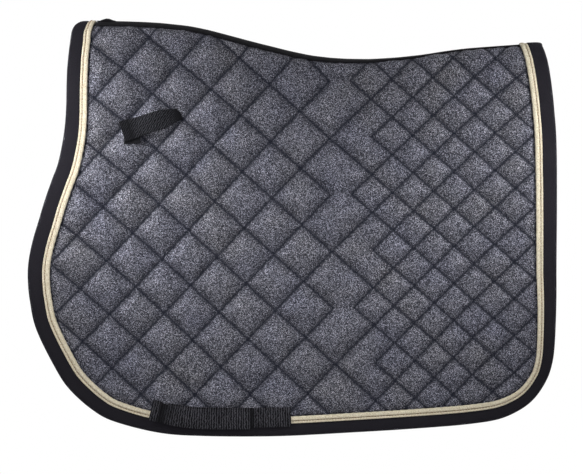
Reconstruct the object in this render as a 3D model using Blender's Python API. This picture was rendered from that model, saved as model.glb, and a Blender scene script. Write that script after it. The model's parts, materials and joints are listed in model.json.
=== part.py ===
# All purpose saddle pad, hanging folded over a rail, as it is stored. Metres, +Z up.
# The front of the horse is towards -X and its near (left) side is at -Y.
# The origin is under the spine, on the tape inside the seam, at the lowest point of the dip.
#
# Cloth pieces are drawn on the developed sheet: x along the pad, z up the flap and on round the arch
# over the rail, and the height off the lining's inner face as the third coordinate. bend() then
# lays that sheet over the arch.

import math

import bmesh
import bpy
from mathutils import Matrix, Vector
from mathutils.geometry import delaunay_2d_cdt

for obj in list(bpy.data.objects):
    bpy.data.objects.remove(obj)
parts = bpy.data.collections.new("saddle_pad")
cutters = bpy.data.collections.new("cutters")
for collection in (parts, cutters):
    bpy.context.scene.collection.children.link(collection)
cutters.hide_render = True

MM = 0.001

# Space between the flaps: half of it, which is also the radius inside the arch
CHANNEL_RADIUS = 14.0 * MM
GAP = 0.3 * MM

# Cloths, from the horse outwards
LINING_CLOTH = 0.8 * MM
WADDING = 3.0 * MM
COVER_CLOTH = 0.8 * MM
PUFF_HEIGHT = 4.3 * MM

# Edge and seam finishes
BINDING_CLOTH = 1.0 * MM
BINDING_WIDTH = 17.8 * MM
TAPE_CLOTH = 1.2 * MM
TAPE_WIDTH = 30.0 * MM
INNER_TAPE_CLOTH = 0.8 * MM
INNER_TAPE_WIDTH = 24.0 * MM
TAB_LENGTH = 15.0 * MM
TAB_HEIGHT = 3.4 * MM
TAB_WIDTH = 14.0 * MM
TAB_SETBACK = 8.0 * MM
CORD_SECTION = [(-0.7, 0), (0.7, 0), (1, 0.5), (0.5, 1), (-0.5, 1), (-1, 0.5)]
NARROW_CORD_WIDTH = 3.0 * MM
NARROW_CORD_HEIGHT = 2.8 * MM
WIDE_CORD_WIDTH = 5.6 * MM
WIDE_CORD_HEIGHT = 4.0 * MM

# Fold line where each flap swings from the spine
FOLD_HEIGHT = -24.0 * MM

# Quilting: squares on point, in two sizes
BIG_HALF_WIDTH = 35.9 * MM
SMALL_HALF_WIDTH = 26.0 * MM
BIG_PITCH = 71.6 * MM
SMALL_PITCH = BIG_PITCH * 2 / 3
BRIDGE_STITCH = 25.4 * MM
QUILT_MIDDLE = (-39.8 * MM, -235.9 * MM)
QUILT_LEAN = 0.021
QUILT_TILT = 0.044
FAN_LENGTH = 7092 * MM
CLOSING_LENGTH = 1348 * MM
BIG_COLUMNS = 11
SMALL_COLUMNS = 10
BIG_ROWS = 5
BIG_INRADIUS = BIG_HALF_WIDTH / math.sqrt(2)
PUFF_SLOPE = 0.5

# Straps
WEBBING = 1.4 * MM
GIRTH_WEBBING_WIDTH = 25.0 * MM
GIRTH_FRONT = -266.7 * MM
GIRTH_BASE_LENGTH = 176.5 * MM
GIRTH_STRAP_LENGTH = 116.5 * MM
GIRTH_END_LENGTH = 10.8 * MM
GIRTH_INSET = 21.5 * MM
GIRTH_BULGE = 5.6 * MM
BILLET_WEBBING_WIDTH = 22.0 * MM
BILLET_SEWN_AT = (-227.5 * MM, -61.2 * MM)
BILLET_SLOPE = math.radians(19.7)
BILLET_LENGTH = 78.0 * MM
BILLET_END_LENGTH = 6.0 * MM
BILLET_PATCH_LENGTH = 27.0 * MM
BILLET_BULGE = 7.8 * MM
PRESSED_IN = 0.1 * MM

# Steps in which the curved cloth is drawn
STATION_STEP = 50.0 * MM
ARCH_STEPS = 5
STRAP_STEPS = 10
OUTLINE_STEPS = 2
SPINE_STEPS = 6
TANGENT_REACH = 10.0 * MM
STRAIGHT_WITHIN = 0.4 * MM
FLAT_ANGLE = math.radians(0.1)
SAME_POINT = 0.001 * MM
ON_PLANE = SAME_POINT / 10

# How far the top edge of the spine rises over its lowest point, from front to rear
SPINE_RISE = [
    (-440, 48.5), (-380, 48.5), (-330, 48.5), (-276, 47), (-238, 44), (-200, 38), (-123, 18),
    (-60, 4), (0, 0), (60, 3.5), (125, 12.5), (180, 17), (226, 20), (270, 20.5),
]

# Edge of one side below the arch: down the front, along the bottom and up the rear
EDGE = [
    (-372.1, 4), (-374, -24), (-377, -76), (-384.8, -120.5), (-393.7, -145.9), (-402.6, -171.3),
    (-410.2, -196.7), (-417.8, -222.1), (-423, -247.5), (-424.2, -270), (-421.4, -299),
    (-412.8, -336), (-387.4, -387), (-369.6, -412.6), (-342, -437), (-313.7, -451.9),
    (-256.5, -465.9), (-199.4, -469.7), (-104, -469.7), (-9, -464.6), (86, -458.3),
    (143.5, -453.2), (175, -447.5), (200.7, -435.4), (218.4, -420.8), (232.4, -400),
    (239.5, -380), (243, -355), (246, -300), (246.4, -235), (245.7, -108), (242.6, -57),
    (239.4, -26.5),
]
FRONT_ARCH_X = -370.8 * MM
FRONT_ARCH_SETBACK = 11.4 * MM
REAR_ARCH_X = 233.7 * MM
REAR_ARCH_SETBACK = 7.0 * MM

# Heights off the lining's inner face
WADDING_TOP = LINING_CLOTH + GAP + WADDING
COVER_BASE = WADDING_TOP + GAP
STITCH_LEVEL = COVER_BASE + COVER_CLOTH
PUFF_TOP = STITCH_LEVEL + PUFF_HEIGHT
ON_COVER = STITCH_LEVEL + GAP
TAPE_TOP = ON_COVER + TAPE_CLOTH
CORD_TOP = ON_COVER + max(WIDE_CORD_HEIGHT, NARROW_CORD_HEIGHT)
GIRTH_BASE_LEVEL = max(PUFF_TOP, CORD_TOP, ON_COVER + BINDING_CLOTH) + GAP
GIRTH_LEVEL = GIRTH_BASE_LEVEL + WEBBING + GAP
BILLET_LEVEL = ON_COVER + WEBBING + GAP
FOLD_AXIS_LEVEL = max(PUFF_TOP, CORD_TOP) + GAP

# The developed sheet keeps its length where the cover is sewn
ARCH_RADIUS = CHANNEL_RADIUS + STITCH_LEVEL
SPINE_AT = ARCH_RADIUS * math.pi / 2
PAST_SPINE = 3.0 * MM
SHEET_TOP = SPINE_AT - ARCH_RADIUS * math.asin(GAP / 2 / CHANNEL_RADIUS)
ARCH_DROP = CHANNEL_RADIUS - GAP - INNER_TAPE_CLOTH

# Distances in from the edge
SHEET_INSET = BINDING_CLOTH + 2 * GAP
NARROW_CORD_INSET = BINDING_WIDTH + GAP + NARROW_CORD_WIDTH / 2
WIDE_CORD_INSET = NARROW_CORD_INSET + (NARROW_CORD_WIDTH + WIDE_CORD_WIDTH) / 2 + GAP
QUILT_INSET = WIDE_CORD_INSET + WIDE_CORD_WIDTH / 2 + GAP

SIDES = {"left": -1, "right": 1}


def smooth_line(points, steps):
    """Points on a Catmull-Rom curve through the given ones, which are kept."""
    ends = [2 * points[0] - points[1], *points, 2 * points[-1] - points[-2]]
    line = []
    for before, start, end, after in zip(ends, ends[1:], ends[2:], ends[3:]):
        for step in range(steps):
            t = step / steps
            bow = (end - before) * t + (2 * before - 5 * start + 4 * end - after) * t**2
            line.append(start + (bow + (3 * start - before - 3 * end + after) * t**3) / 2)
    return line + [points[-1]]


def without_straight_points(line):
    """The line without the points that hardly bend it."""
    kept = [line[0]]
    for point, following in zip(line[1:], line[2:]):
        chord = (following - kept[-1]).normalized()
        if abs(chord.cross(point - kept[-1])) > STRAIGHT_WITHIN:
            kept.append(point)
    return [*kept, line[-1]]


def at_x(line, x):
    """The second coordinate of a line at x, where the line runs along +X."""
    for start, end in zip(line, line[1:]):
        if x <= end.x:
            break
    return start.y + (end.y - start.y) * (x - start.x) / (end.x - start.x)


def spine_stations():
    """The spine's rise at even steps along x, as the polyline that every cloth follows."""
    curve = smooth_line([Vector(p) * MM for p in SPINE_RISE], SPINE_STEPS)
    first = curve[0].x
    count = math.ceil((curve[-1].x - first) / STATION_STEP)
    xs = [first + (curve[-1].x - first) * i / count for i in range(count + 1)]
    return [Vector((x, at_x(curve, x))) for x in xs]


STATIONS = spine_stations()


def arch_centre(x):
    """Height of the arch's axis at x."""
    return at_x(STATIONS, x) - ARCH_DROP


def bend(x, level, z, side):
    """World place of a point of the developed sheet."""
    centre = arch_centre(x)
    radius = CHANNEL_RADIUS + level
    if z <= centre:
        return Vector((x, side * radius, z))
    angle = (z - centre) / ARCH_RADIUS
    return Vector((x, side * radius * math.cos(angle), centre + radius * math.sin(angle)))


def developed(x, z):
    """The developed sheet's point that shows at height z seen from the side."""
    centre = arch_centre(x)
    if z <= centre:
        return Vector((x, z))
    share = (z - centre) / ARCH_RADIUS
    return Vector((x, centre + ARCH_RADIUS * (math.asin(min(share, 1)) + max(share - 1, 0))))


def arch_edge(edge_x, setback):
    """The edge over the arch, from its side up to the spine, where it stands back."""
    points = []
    for step in range(ARCH_STEPS + 1):
        angle = math.pi / 2 * step / ARCH_STEPS
        x = edge_x + setback * math.sin(angle) ** 2
        points.append(Vector((x, arch_centre(x) + ARCH_RADIUS * angle)))
    return points


def pad_edge():
    """The pad's whole edge on one side, from the spine at the front to the spine at the rear."""
    front = arch_edge(FRONT_ARCH_X, FRONT_ARCH_SETBACK)
    rear = arch_edge(REAR_ARCH_X, -REAR_ARCH_SETBACK)
    below = smooth_line([front[0], *(Vector(p) * MM for p in EDGE), rear[0]], OUTLINE_STEPS)
    return front[:0:-1] + without_straight_points(below) + rear[1:]


def normals(line):
    """Unit normals of a line, to its left, and how far each is stretched at a bend."""
    found = []
    for i, point in enumerate(line):
        before = (point - line[i - 1]).normalized() if i else None
        after = (line[i + 1] - point).normalized() if i + 1 < len(line) else None
        along = ((before or after) + (after or before)).normalized()
        stretch = 1 / along.dot(after or before)
        found.append(Vector((-along.y, along.x)) * stretch)
    return found


def inset_edge(distance):
    """The pad's edge moved inwards. Its ends stay square to the spine."""
    edge = pad_edge()
    across = normals(edge)
    across[0] = Vector((1, 0))
    across[-1] = Vector((-1, 0))
    return [p + n * distance for p, n in zip(edge, across)]


def split_line(line, height_of, limit):
    """The stretches of a line where height_of(point) is under the limit, cut at the limit."""
    parts = [[]]
    for start, end in zip(line, line[1:]):
        low, high = height_of(start) - limit, height_of(end) - limit
        if low <= 0:
            parts[-1].append(start)
        if low * high < 0:
            parts[-1].append(start.lerp(end, low / (low - high)))
            if high > 0:
                parts.append([])
    if height_of(line[-1]) <= limit:
        parts[-1].append(line[-1])
    return [part for part in parts if len(part) > 1]


def over_arch(point):
    """How far up the arch a point of the developed sheet lies."""
    return point.y - arch_centre(point.x)


def along_spine(height, start, end):
    """Points a fixed way up the arch, from x start to x end, with one at each station."""
    xs = [s.x for s in STATIONS if min(start, end) < s.x < max(start, end)]
    xs = [start, *(xs if end > start else xs[::-1]), end]
    return [Vector((x, arch_centre(x) + height)) for x in xs]


def sheet_loop(inset, top):
    """A closed outline of one side's cloth: its edge, and its top along the spine."""
    edge = split_line(inset_edge(inset), over_arch, top - SAME_POINT)[0]
    return edge + along_spine(top, edge[-1].x, edge[0].x)


def quilt_point(across, down):
    """Where a place of the even lattice lies on the cloth, which fans out from its middle row."""
    x = QUILT_MIDDLE[0] + across + QUILT_LEAN * down - across * down / FAN_LENGTH
    z = QUILT_MIDDLE[1] + QUILT_TILT * across - down * (1 - (across / CLOSING_LENGTH) ** 2)
    return developed(x, z)


def quilt_stitches():
    """The stitch lines as pairs of points: big squares at the front, small ones at the rear."""
    first_small = 2 * BRIDGE_STITCH
    stitches = []

    def fork(across, down, reach, rise):
        """Two stitch lines from one crossing, up and down the cloth."""
        for turn in (-1, 1):
            ends = quilt_point(across, down), quilt_point(across + reach, down + turn * rise)
            stitches.append(ends)

    for column in range(BIG_COLUMNS):
        for row in range(-BIG_ROWS, BIG_ROWS):
            down = (row + column % 2 / 2) * BIG_PITCH
            fork(-column * BIG_HALF_WIDTH, down, -BIG_HALF_WIDTH, BIG_PITCH / 2)
    for row in range(-BIG_ROWS, BIG_ROWS):
        down = row * BIG_PITCH
        if row % 2:
            stitches.append((quilt_point(0, down), quilt_point(BRIDGE_STITCH, down)))
            fork(BRIDGE_STITCH, down, first_small - BRIDGE_STITCH, SMALL_PITCH / 2)
        else:
            fork(0, down, first_small, SMALL_PITCH)
    for column in range(SMALL_COLUMNS):
        for row in range(-2 * BIG_ROWS, 2 * BIG_ROWS):
            down = (row + column % 2 / 2) * SMALL_PITCH
            across = first_small + column * SMALL_HALF_WIDTH
            fork(across, down, SMALL_HALF_WIDTH, SMALL_PITCH / 2)
    return stitches


def plain_skin(loop, level):
    """A flat skin inside a closed outline of the developed sheet."""
    skin = bmesh.new()
    skin.faces.new([skin.verts.new((p.x, level, p.y)) for p in loop])
    return skin


def quilted_skin():
    """The cover's outer skin on the developed sheet, with a puff in each cell of the quilting."""
    sheet = sheet_loop(SHEET_INSET, SHEET_TOP)
    quilt = sheet_loop(QUILT_INSET, SPINE_AT - TAPE_WIDTH / 2)
    loops = [list(range(len(sheet))), list(range(len(sheet), len(sheet) + len(quilt)))]
    points = sheet + quilt
    edges = []
    for stitch in quilt_stitches():
        edges.append((len(points), len(points) + 1))
        points += stitch
    places, _, cells, _, _, owners = delaunay_2d_cdt(points, edges, loops, 3, SAME_POINT)
    skin = bmesh.new()
    verts = [skin.verts.new((p.x, STITCH_LEVEL, p.y)) for p in places]
    puffs = []
    for cell, owner in zip(cells, owners):
        if 0 in owner:
            face = skin.faces.new([verts[i] for i in cell])
            if 1 in owner:
                puffs.append(face)
    bmesh.ops.delete(skin, geom=[v for v in skin.verts if not v.link_faces], context="VERTS")
    for face in puffs:
        inradius = 2 * face.calc_area() / face.calc_perimeter()
        slope = inradius * PUFF_SLOPE
        bmesh.ops.inset_individual(skin, faces=[face], thickness=slope, use_even_offset=True)
        for vert in face.verts:
            vert.co.y += PUFF_HEIGHT * min(inradius / BIG_INRADIUS, 1)
    return skin


def keep(mesh, height, above):
    """Cuts a mesh of the developed sheet level across, and keeps the part above or below."""
    geometry = [*mesh.verts, *mesh.edges, *mesh.faces]
    cut = bmesh.ops.bisect_plane(
        mesh, geom=geometry, dist=ON_PLANE, plane_co=(0, 0, height), plane_no=(0, 0, 1),
        clear_inner=above, clear_outer=not above,
    )
    return [e for e in cut["geom_cut"] if isinstance(e, bmesh.types.BMEdge)]


def score(mesh, place, normal):
    geometry = [*mesh.verts, *mesh.edges, *mesh.faces]
    bmesh.ops.bisect_plane(mesh, geom=geometry, dist=ON_PLANE, plane_co=place, plane_no=normal)


def shear(mesh, turn):
    """Moves a mesh of the developed sheet so that the arch starts level, or back again."""
    for vert in mesh.verts:
        vert.co.z += turn * arch_centre(vert.co.x)


def score_for_arch(mesh):
    """Gives a mesh the edges that it bends along: at each station and at even steps of the arch."""
    for station in STATIONS:
        score(mesh, (station.x, 0, 0), (1, 0, 0))
    shear(mesh, -1)
    for step in range(ARCH_STEPS):
        score(mesh, (0, 0, SPINE_AT * step / ARCH_STEPS), (0, 0, 1))
    shear(mesh, 1)


def thicken(skin, level):
    """Closes a skin into a solid whose other face lies at this level, with no edge inside a flat."""
    made = bmesh.ops.extrude_face_region(skin, geom=skin.faces[:])
    for vert in made["geom"]:
        if isinstance(vert, bmesh.types.BMVert):
            vert.co.y = level
    bmesh.ops.dissolve_limit(skin, angle_limit=FLAT_ANGLE, verts=skin.verts, edges=skin.edges)


def sweep(stations, section, lifts=None):
    """A solid of one section along the sheet. A section's points are (inwards, level)."""
    solid = bmesh.new()
    rings = []
    for i, (place, across) in enumerate(stations):
        lift = lifts[i] if lifts else 0
        ring = [(place + across * inwards, level + lift) for inwards, level in section]
        rings.append([solid.verts.new((p.x, level, p.y)) for p, level in ring])
    for ring, following in zip(rings, rings[1:]):
        for i in range(len(section)):
            solid.faces.new((ring[i - 1], ring[i], following[i], following[i - 1]))
    solid.faces.new(rings[0])
    solid.faces.new(rings[-1])
    return solid


def strip(inwards, width, low, high):
    """A flat section."""
    near, far = inwards - width / 2, inwards + width / 2
    return [(near, low), (far, low), (far, high), (near, high)]


def cord(inwards, width, height):
    """The section of a cord, flat underneath where it is sewn down."""
    return [(inwards + width / 2 * x, ON_COVER + height * y) for x, y in CORD_SECTION]


def binding_section():
    inside, outside = -GAP, ON_COVER
    return [
        (0, inside - BINDING_CLOTH), (BINDING_WIDTH, inside - BINDING_CLOTH),
        (BINDING_WIDTH, inside), (BINDING_CLOTH, inside), (BINDING_CLOTH, outside),
        (BINDING_WIDTH, outside), (BINDING_WIDTH, outside + BINDING_CLOTH),
        (0, outside + BINDING_CLOTH),
    ]


def edge_stations(part):
    """Places along the pad's edge with their inward directions: the front, the rear or all."""
    edge = pad_edge()
    past = Vector((0, PAST_SPINE))
    edge = [edge[0] + past, *edge, edge[-1] + past]
    across = normals(edge)
    across[:2] = [Vector((1, 0))] * 2
    across[-2:] = [Vector((-1, 0))] * 2
    stations = list(zip(edge, across))
    on_flap = [i for i, p in enumerate(edge) if p.y < FOLD_HEIGHT - BINDING_WIDTH]
    if part == "front":
        return stations[: on_flap[0] + 1]
    return stations[on_flap[-1] :] if part == "rear" else stations


def edge_piece(section, part):
    """A solid along the edge, cut at the fold line."""
    solid = sweep(edge_stations(part), section)
    above = part != "flap"
    rims = keep(solid, FOLD_HEIGHT + (GAP if above else -GAP) / 2, above)
    bmesh.ops.holes_fill(solid, edges=rims)
    return solid


def girth_stations(start, length):
    """Places along the bottom edge, where the girth strap is sewn."""
    inset = inset_edge(GIRTH_INSET)
    xs = [p.x for p in inset]
    bottom = inset[xs.index(min(xs)) : xs.index(max(xs)) + 1]
    steps = [start + length * i / STRAP_STEPS for i in range(STRAP_STEPS + 1)]
    stations = []
    for x in steps:
        rise = at_x(bottom, x + TANGENT_REACH) - at_x(bottom, x - TANGENT_REACH)
        along = Vector((2 * TANGENT_REACH, rise)).normalized()
        stations.append((Vector((x, at_x(bottom, x))), Vector((-along.y, along.x))))
    return stations


def billet_stations(start, length):
    """Places along the billet strap, counted from its sewn end."""
    along = Vector((-math.cos(BILLET_SLOPE), -math.sin(BILLET_SLOPE)))
    across = Vector((-along.y, along.x))
    first = Vector(BILLET_SEWN_AT) + along * start
    return [(first + along * length * i / STRAP_STEPS, across) for i in range(STRAP_STEPS + 1)]


def bulge(height):
    """How far a strap stands off along its length."""
    return [height * math.sin(math.pi * i / STRAP_STEPS) for i in range(STRAP_STEPS + 1)]


def bend_mesh(mesh, side):
    for vert in mesh.verts:
        vert.co = bend(*vert.co, side)


def carry_over_spine(mesh):
    """Cuts a left half of the developed sheet at the spine, bends it, and joins its mirror image."""
    score_for_arch(mesh)
    shear(mesh, -1)
    geometry = [*mesh.verts, *mesh.edges, *mesh.faces]
    cut = bmesh.ops.bisect_plane(
        mesh, geom=geometry, dist=SAME_POINT, plane_co=(0, 0, SPINE_AT), plane_no=(0, 0, 1),
        clear_outer=True,
    )
    rim = [v for v in cut["geom_cut"] if isinstance(v, bmesh.types.BMVert)]
    shear(mesh, 1)
    bend_mesh(mesh, SIDES["left"])
    for vert in rim:
        vert.co.y = 0
    geometry = [*mesh.verts, *mesh.edges, *mesh.faces]
    bmesh.ops.mirror(mesh, geom=geometry, axis="Y", merge_dist=SAME_POINT)


def material(name, colour, roughness):
    made = bpy.data.materials.new(name)
    made.use_nodes = True
    shader = made.node_tree.nodes["Principled BSDF"]
    shader.inputs["Base Color"].default_value = (*colour, 1)
    shader.inputs["Roughness"].default_value = roughness
    shader.inputs["Metallic"].default_value = 0


def pivot(name, place, parent=None):
    """An empty on a joint's axis."""
    empty = bpy.data.objects.new(name, None)
    parts.objects.link(empty)
    empty.parent = parent
    empty.location = place - (parent.matrix_world.translation if parent else Vector())
    bpy.context.view_layer.update()
    return empty


def add(name, mesh, finish, body=None, collection=parts):
    """Makes a finished mesh one named piece, carried by its body's pivot."""
    bmesh.ops.recalc_face_normals(mesh, faces=mesh.faces[:])
    if mesh.calc_volume(signed=True) < 0:
        bmesh.ops.reverse_faces(mesh, faces=mesh.faces[:])
    if body:
        mesh.transform(Matrix.Translation(-body.matrix_world.translation))
    data = bpy.data.meshes.new(name)
    mesh.to_mesh(data)
    mesh.free()
    data.materials.append(bpy.data.materials[finish])
    obj = bpy.data.objects.new(name, data)
    obj.parent = body
    collection.objects.link(obj)
    return obj


def press(target, name, stations, side):
    """Presses the quilting flat under a strap's sewn end."""
    pressed = strip(0, BILLET_WEBBING_WIDTH + 2 * GAP, STITCH_LEVEL - PRESSED_IN, PUFF_TOP + GAP)
    solid = sweep(stations, pressed)
    bend_mesh(solid, side)
    tool = add(name, solid, "webbing", target.parent, cutters)
    tool.hide_render = True
    tool.display_type = "WIRE"
    modifier = target.modifiers.new(name, "BOOLEAN")
    modifier.object = tool
    modifier.operation = "DIFFERENCE"


def cloth_layers():
    """The skin of each cloth on one side, the level of its other face, and its finish."""
    sheet = sheet_loop(SHEET_INSET, SHEET_TOP)
    return {
        "cover": (quilted_skin(), COVER_BASE, "cover_cloth"),
        "wadding": (plain_skin(sheet, WADDING_TOP), LINING_CLOTH + GAP, "wadding"),
        "lining": (plain_skin(sheet, LINING_CLOTH), 0, "lining"),
    }


def edge_trims():
    """The section of each piece that runs round the edge, and its finish."""
    return {
        "binding": (binding_section(), "binding"),
        "narrow_cord": (cord(NARROW_CORD_INSET, NARROW_CORD_WIDTH, NARROW_CORD_HEIGHT), "cord"),
        "wide_cord": (cord(WIDE_CORD_INSET, WIDE_CORD_WIDTH, WIDE_CORD_HEIGHT), "cord"),
    }


def spine_strip(name, finish, span, width, low, high):
    """A tape along the spine, over both sides."""
    reach = width / 2 * ARCH_RADIUS / (CHANNEL_RADIUS + high)
    start, end = span
    loop = along_spine(SPINE_AT - reach, start, end) + along_spine(SPINE_AT + PAST_SPINE, end, start)
    skin = plain_skin(loop, high)
    thicken(skin, low)
    carry_over_spine(skin)
    add(name, skin, finish)


def spine():
    """What stays over the rail: the top of each cloth, both ends of the trims, and the tapes."""
    for side_name, side in SIDES.items():
        for layer, (skin, level, finish) in cloth_layers().items():
            keep(skin, FOLD_HEIGHT + GAP / 2, above=True)
            thicken(skin, level)
            score_for_arch(skin)
            bend_mesh(skin, side)
            add(f"{side_name}_spine_{layer}", skin, finish)
    for end in ("front", "rear"):
        for trim, (section, finish) in edge_trims().items():
            solid = edge_piece(section, end)
            carry_over_spine(solid)
            add(f"{end}_spine_{trim}", solid, finish)
    quilt_edge = inset_edge(QUILT_INSET)
    span = quilt_edge[0].x, quilt_edge[-1].x
    tab_span = span[0] + TAB_SETBACK, span[0] + TAB_SETBACK + TAB_LENGTH
    tab_level = TAPE_TOP + GAP
    spine_strip("spine_tape", "binding", span, TAPE_WIDTH, ON_COVER, TAPE_TOP)
    spine_strip(
        "inner_spine_tape", "binding", span, INNER_TAPE_WIDTH, -GAP - INNER_TAPE_CLOTH, -GAP
    )
    spine_strip(
        "tape_end_tab", "webbing", tab_span, TAB_WIDTH, tab_level, tab_level + TAB_HEIGHT
    )


def webbing(name, side, body, stations, width, level, lifts=None):
    """A length of webbing whose inner face lies at this level."""
    solid = sweep(stations, strip(0, width, level, level + WEBBING), lifts)
    bend_mesh(solid, side)
    return add(name, solid, "webbing", body)


def hinge(name, side, flap, stations, level):
    """A strap's pivot, across its sewn end on its outer face."""
    place, _ = stations[0]
    return pivot(name, bend(place.x, level + WEBBING, place.y, side), flap)


def girth_strap(side_name, side, flap):
    """A strap sewn on at both ends over a base strap, which the girth is passed through."""
    width = GIRTH_WEBBING_WIDTH
    base = girth_stations(GIRTH_FRONT, GIRTH_BASE_LENGTH)
    end = girth_stations(GIRTH_FRONT, GIRTH_END_LENGTH)
    over = girth_stations(GIRTH_FRONT + GIRTH_END_LENGTH + GAP, GIRTH_STRAP_LENGTH)
    webbing(f"{side_name}_girth_base_strap", side, flap, base, width, GIRTH_BASE_LEVEL)
    webbing(f"{side_name}_girth_strap_end", side, flap, end, width, GIRTH_LEVEL)
    swing = hinge(f"{side_name}_girth_strap_hinge", side, flap, over, GIRTH_LEVEL)
    bow = bulge(GIRTH_BULGE)
    webbing(f"{side_name}_girth_strap", side, swing, over, width, GIRTH_LEVEL, bow)


def billet_strap(side_name, side, flap, cover):
    """A strap near the front that the saddle's billet is passed through."""
    width = BILLET_WEBBING_WIDTH
    patch_start = BILLET_LENGTH - BILLET_PATCH_LENGTH
    strap_start = BILLET_END_LENGTH + GAP
    patch = billet_stations(patch_start, BILLET_PATCH_LENGTH)
    over = billet_stations(strap_start, BILLET_LENGTH - strap_start)
    webbing(f"{side_name}_billet_base_patch", side, flap, patch, width, ON_COVER)
    end = sweep(
        billet_stations(0, BILLET_END_LENGTH), strip(0, width, ON_COVER, BILLET_LEVEL + WEBBING)
    )
    bend_mesh(end, side)
    add(f"{side_name}_billet_strap_end", end, "webbing", flap)
    swing = hinge(f"{side_name}_billet_strap_hinge", side, flap, over, BILLET_LEVEL)
    bow = bulge(BILLET_BULGE)
    webbing(f"{side_name}_billet_strap", side, swing, over, width, BILLET_LEVEL, bow)
    under_end = billet_stations(-GAP, BILLET_END_LENGTH + 2 * GAP)
    under_patch = billet_stations(patch_start - GAP, BILLET_PATCH_LENGTH + 2 * GAP)
    press(cover, f"{side_name}_end_press", under_end, side)
    press(cover, f"{side_name}_patch_press", under_patch, side)


def flap_side(side_name, side):
    """One flap with what is sewn on it. It swings at the fold line."""
    out = side * (CHANNEL_RADIUS + FOLD_AXIS_LEVEL)
    flap = pivot(f"{side_name}_flap_fold", Vector((0, out, FOLD_HEIGHT)))
    layers = {}
    for layer, (skin, level, finish) in cloth_layers().items():
        keep(skin, FOLD_HEIGHT - GAP / 2, above=False)
        thicken(skin, level)
        bend_mesh(skin, side)
        layers[layer] = add(f"{side_name}_flap_{layer}", skin, finish, flap)
    for trim, (section, finish) in edge_trims().items():
        solid = edge_piece(section, "flap")
        bend_mesh(solid, side)
        add(f"{side_name}_flap_{trim}", solid, finish, flap)
    girth_strap(side_name, side, flap)
    billet_strap(side_name, side, flap, layers["cover"])


material("cover_cloth", (0.092, 0.093, 0.112), 0.6)
material("wadding", (0.8, 0.8, 0.78), 1.0)
material("lining", (0.03, 0.03, 0.034), 0.9)
material("binding", (0.021, 0.019, 0.023), 0.8)
material("cord", (0.67, 0.62, 0.49), 0.5)
material("webbing", (0.018, 0.018, 0.022), 0.7)
spine()
for side_name, side in SIDES.items():
    flap_side(side_name, side)
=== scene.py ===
import json
import math

import bmesh
import bpy
import numpy as np
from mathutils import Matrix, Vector, noise
from mathutils.geometry import delaunay_2d_cdt
from mathutils.kdtree import KDTree


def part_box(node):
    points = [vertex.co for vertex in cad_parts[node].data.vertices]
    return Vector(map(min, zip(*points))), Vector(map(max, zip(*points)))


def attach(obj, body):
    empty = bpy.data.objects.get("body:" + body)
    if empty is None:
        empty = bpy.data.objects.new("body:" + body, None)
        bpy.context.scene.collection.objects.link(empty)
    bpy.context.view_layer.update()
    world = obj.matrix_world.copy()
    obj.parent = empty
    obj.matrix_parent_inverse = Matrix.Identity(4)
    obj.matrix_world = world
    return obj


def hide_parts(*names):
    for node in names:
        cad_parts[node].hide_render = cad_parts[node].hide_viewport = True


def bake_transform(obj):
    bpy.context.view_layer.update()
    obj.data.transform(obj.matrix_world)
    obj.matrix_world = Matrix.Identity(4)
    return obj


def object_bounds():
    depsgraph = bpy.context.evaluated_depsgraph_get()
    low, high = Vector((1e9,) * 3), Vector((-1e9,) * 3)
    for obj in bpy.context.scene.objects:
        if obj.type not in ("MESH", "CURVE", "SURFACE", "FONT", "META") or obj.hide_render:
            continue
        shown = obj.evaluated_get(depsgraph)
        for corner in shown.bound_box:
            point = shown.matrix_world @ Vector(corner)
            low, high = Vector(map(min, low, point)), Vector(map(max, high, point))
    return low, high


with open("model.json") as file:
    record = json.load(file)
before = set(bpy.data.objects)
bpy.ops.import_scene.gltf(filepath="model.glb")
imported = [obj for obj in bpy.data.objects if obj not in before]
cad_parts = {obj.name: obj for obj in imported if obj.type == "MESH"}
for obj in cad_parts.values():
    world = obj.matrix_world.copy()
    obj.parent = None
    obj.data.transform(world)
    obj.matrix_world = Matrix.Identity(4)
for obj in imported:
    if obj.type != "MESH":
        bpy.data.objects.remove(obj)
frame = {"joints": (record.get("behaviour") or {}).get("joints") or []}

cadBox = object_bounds()
mm = 0.001
sides = {"left": -1, "right": 1}
foldJoint = next(joint for joint in frame["joints"] if joint["name"] == "left_flap_fold")

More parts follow.
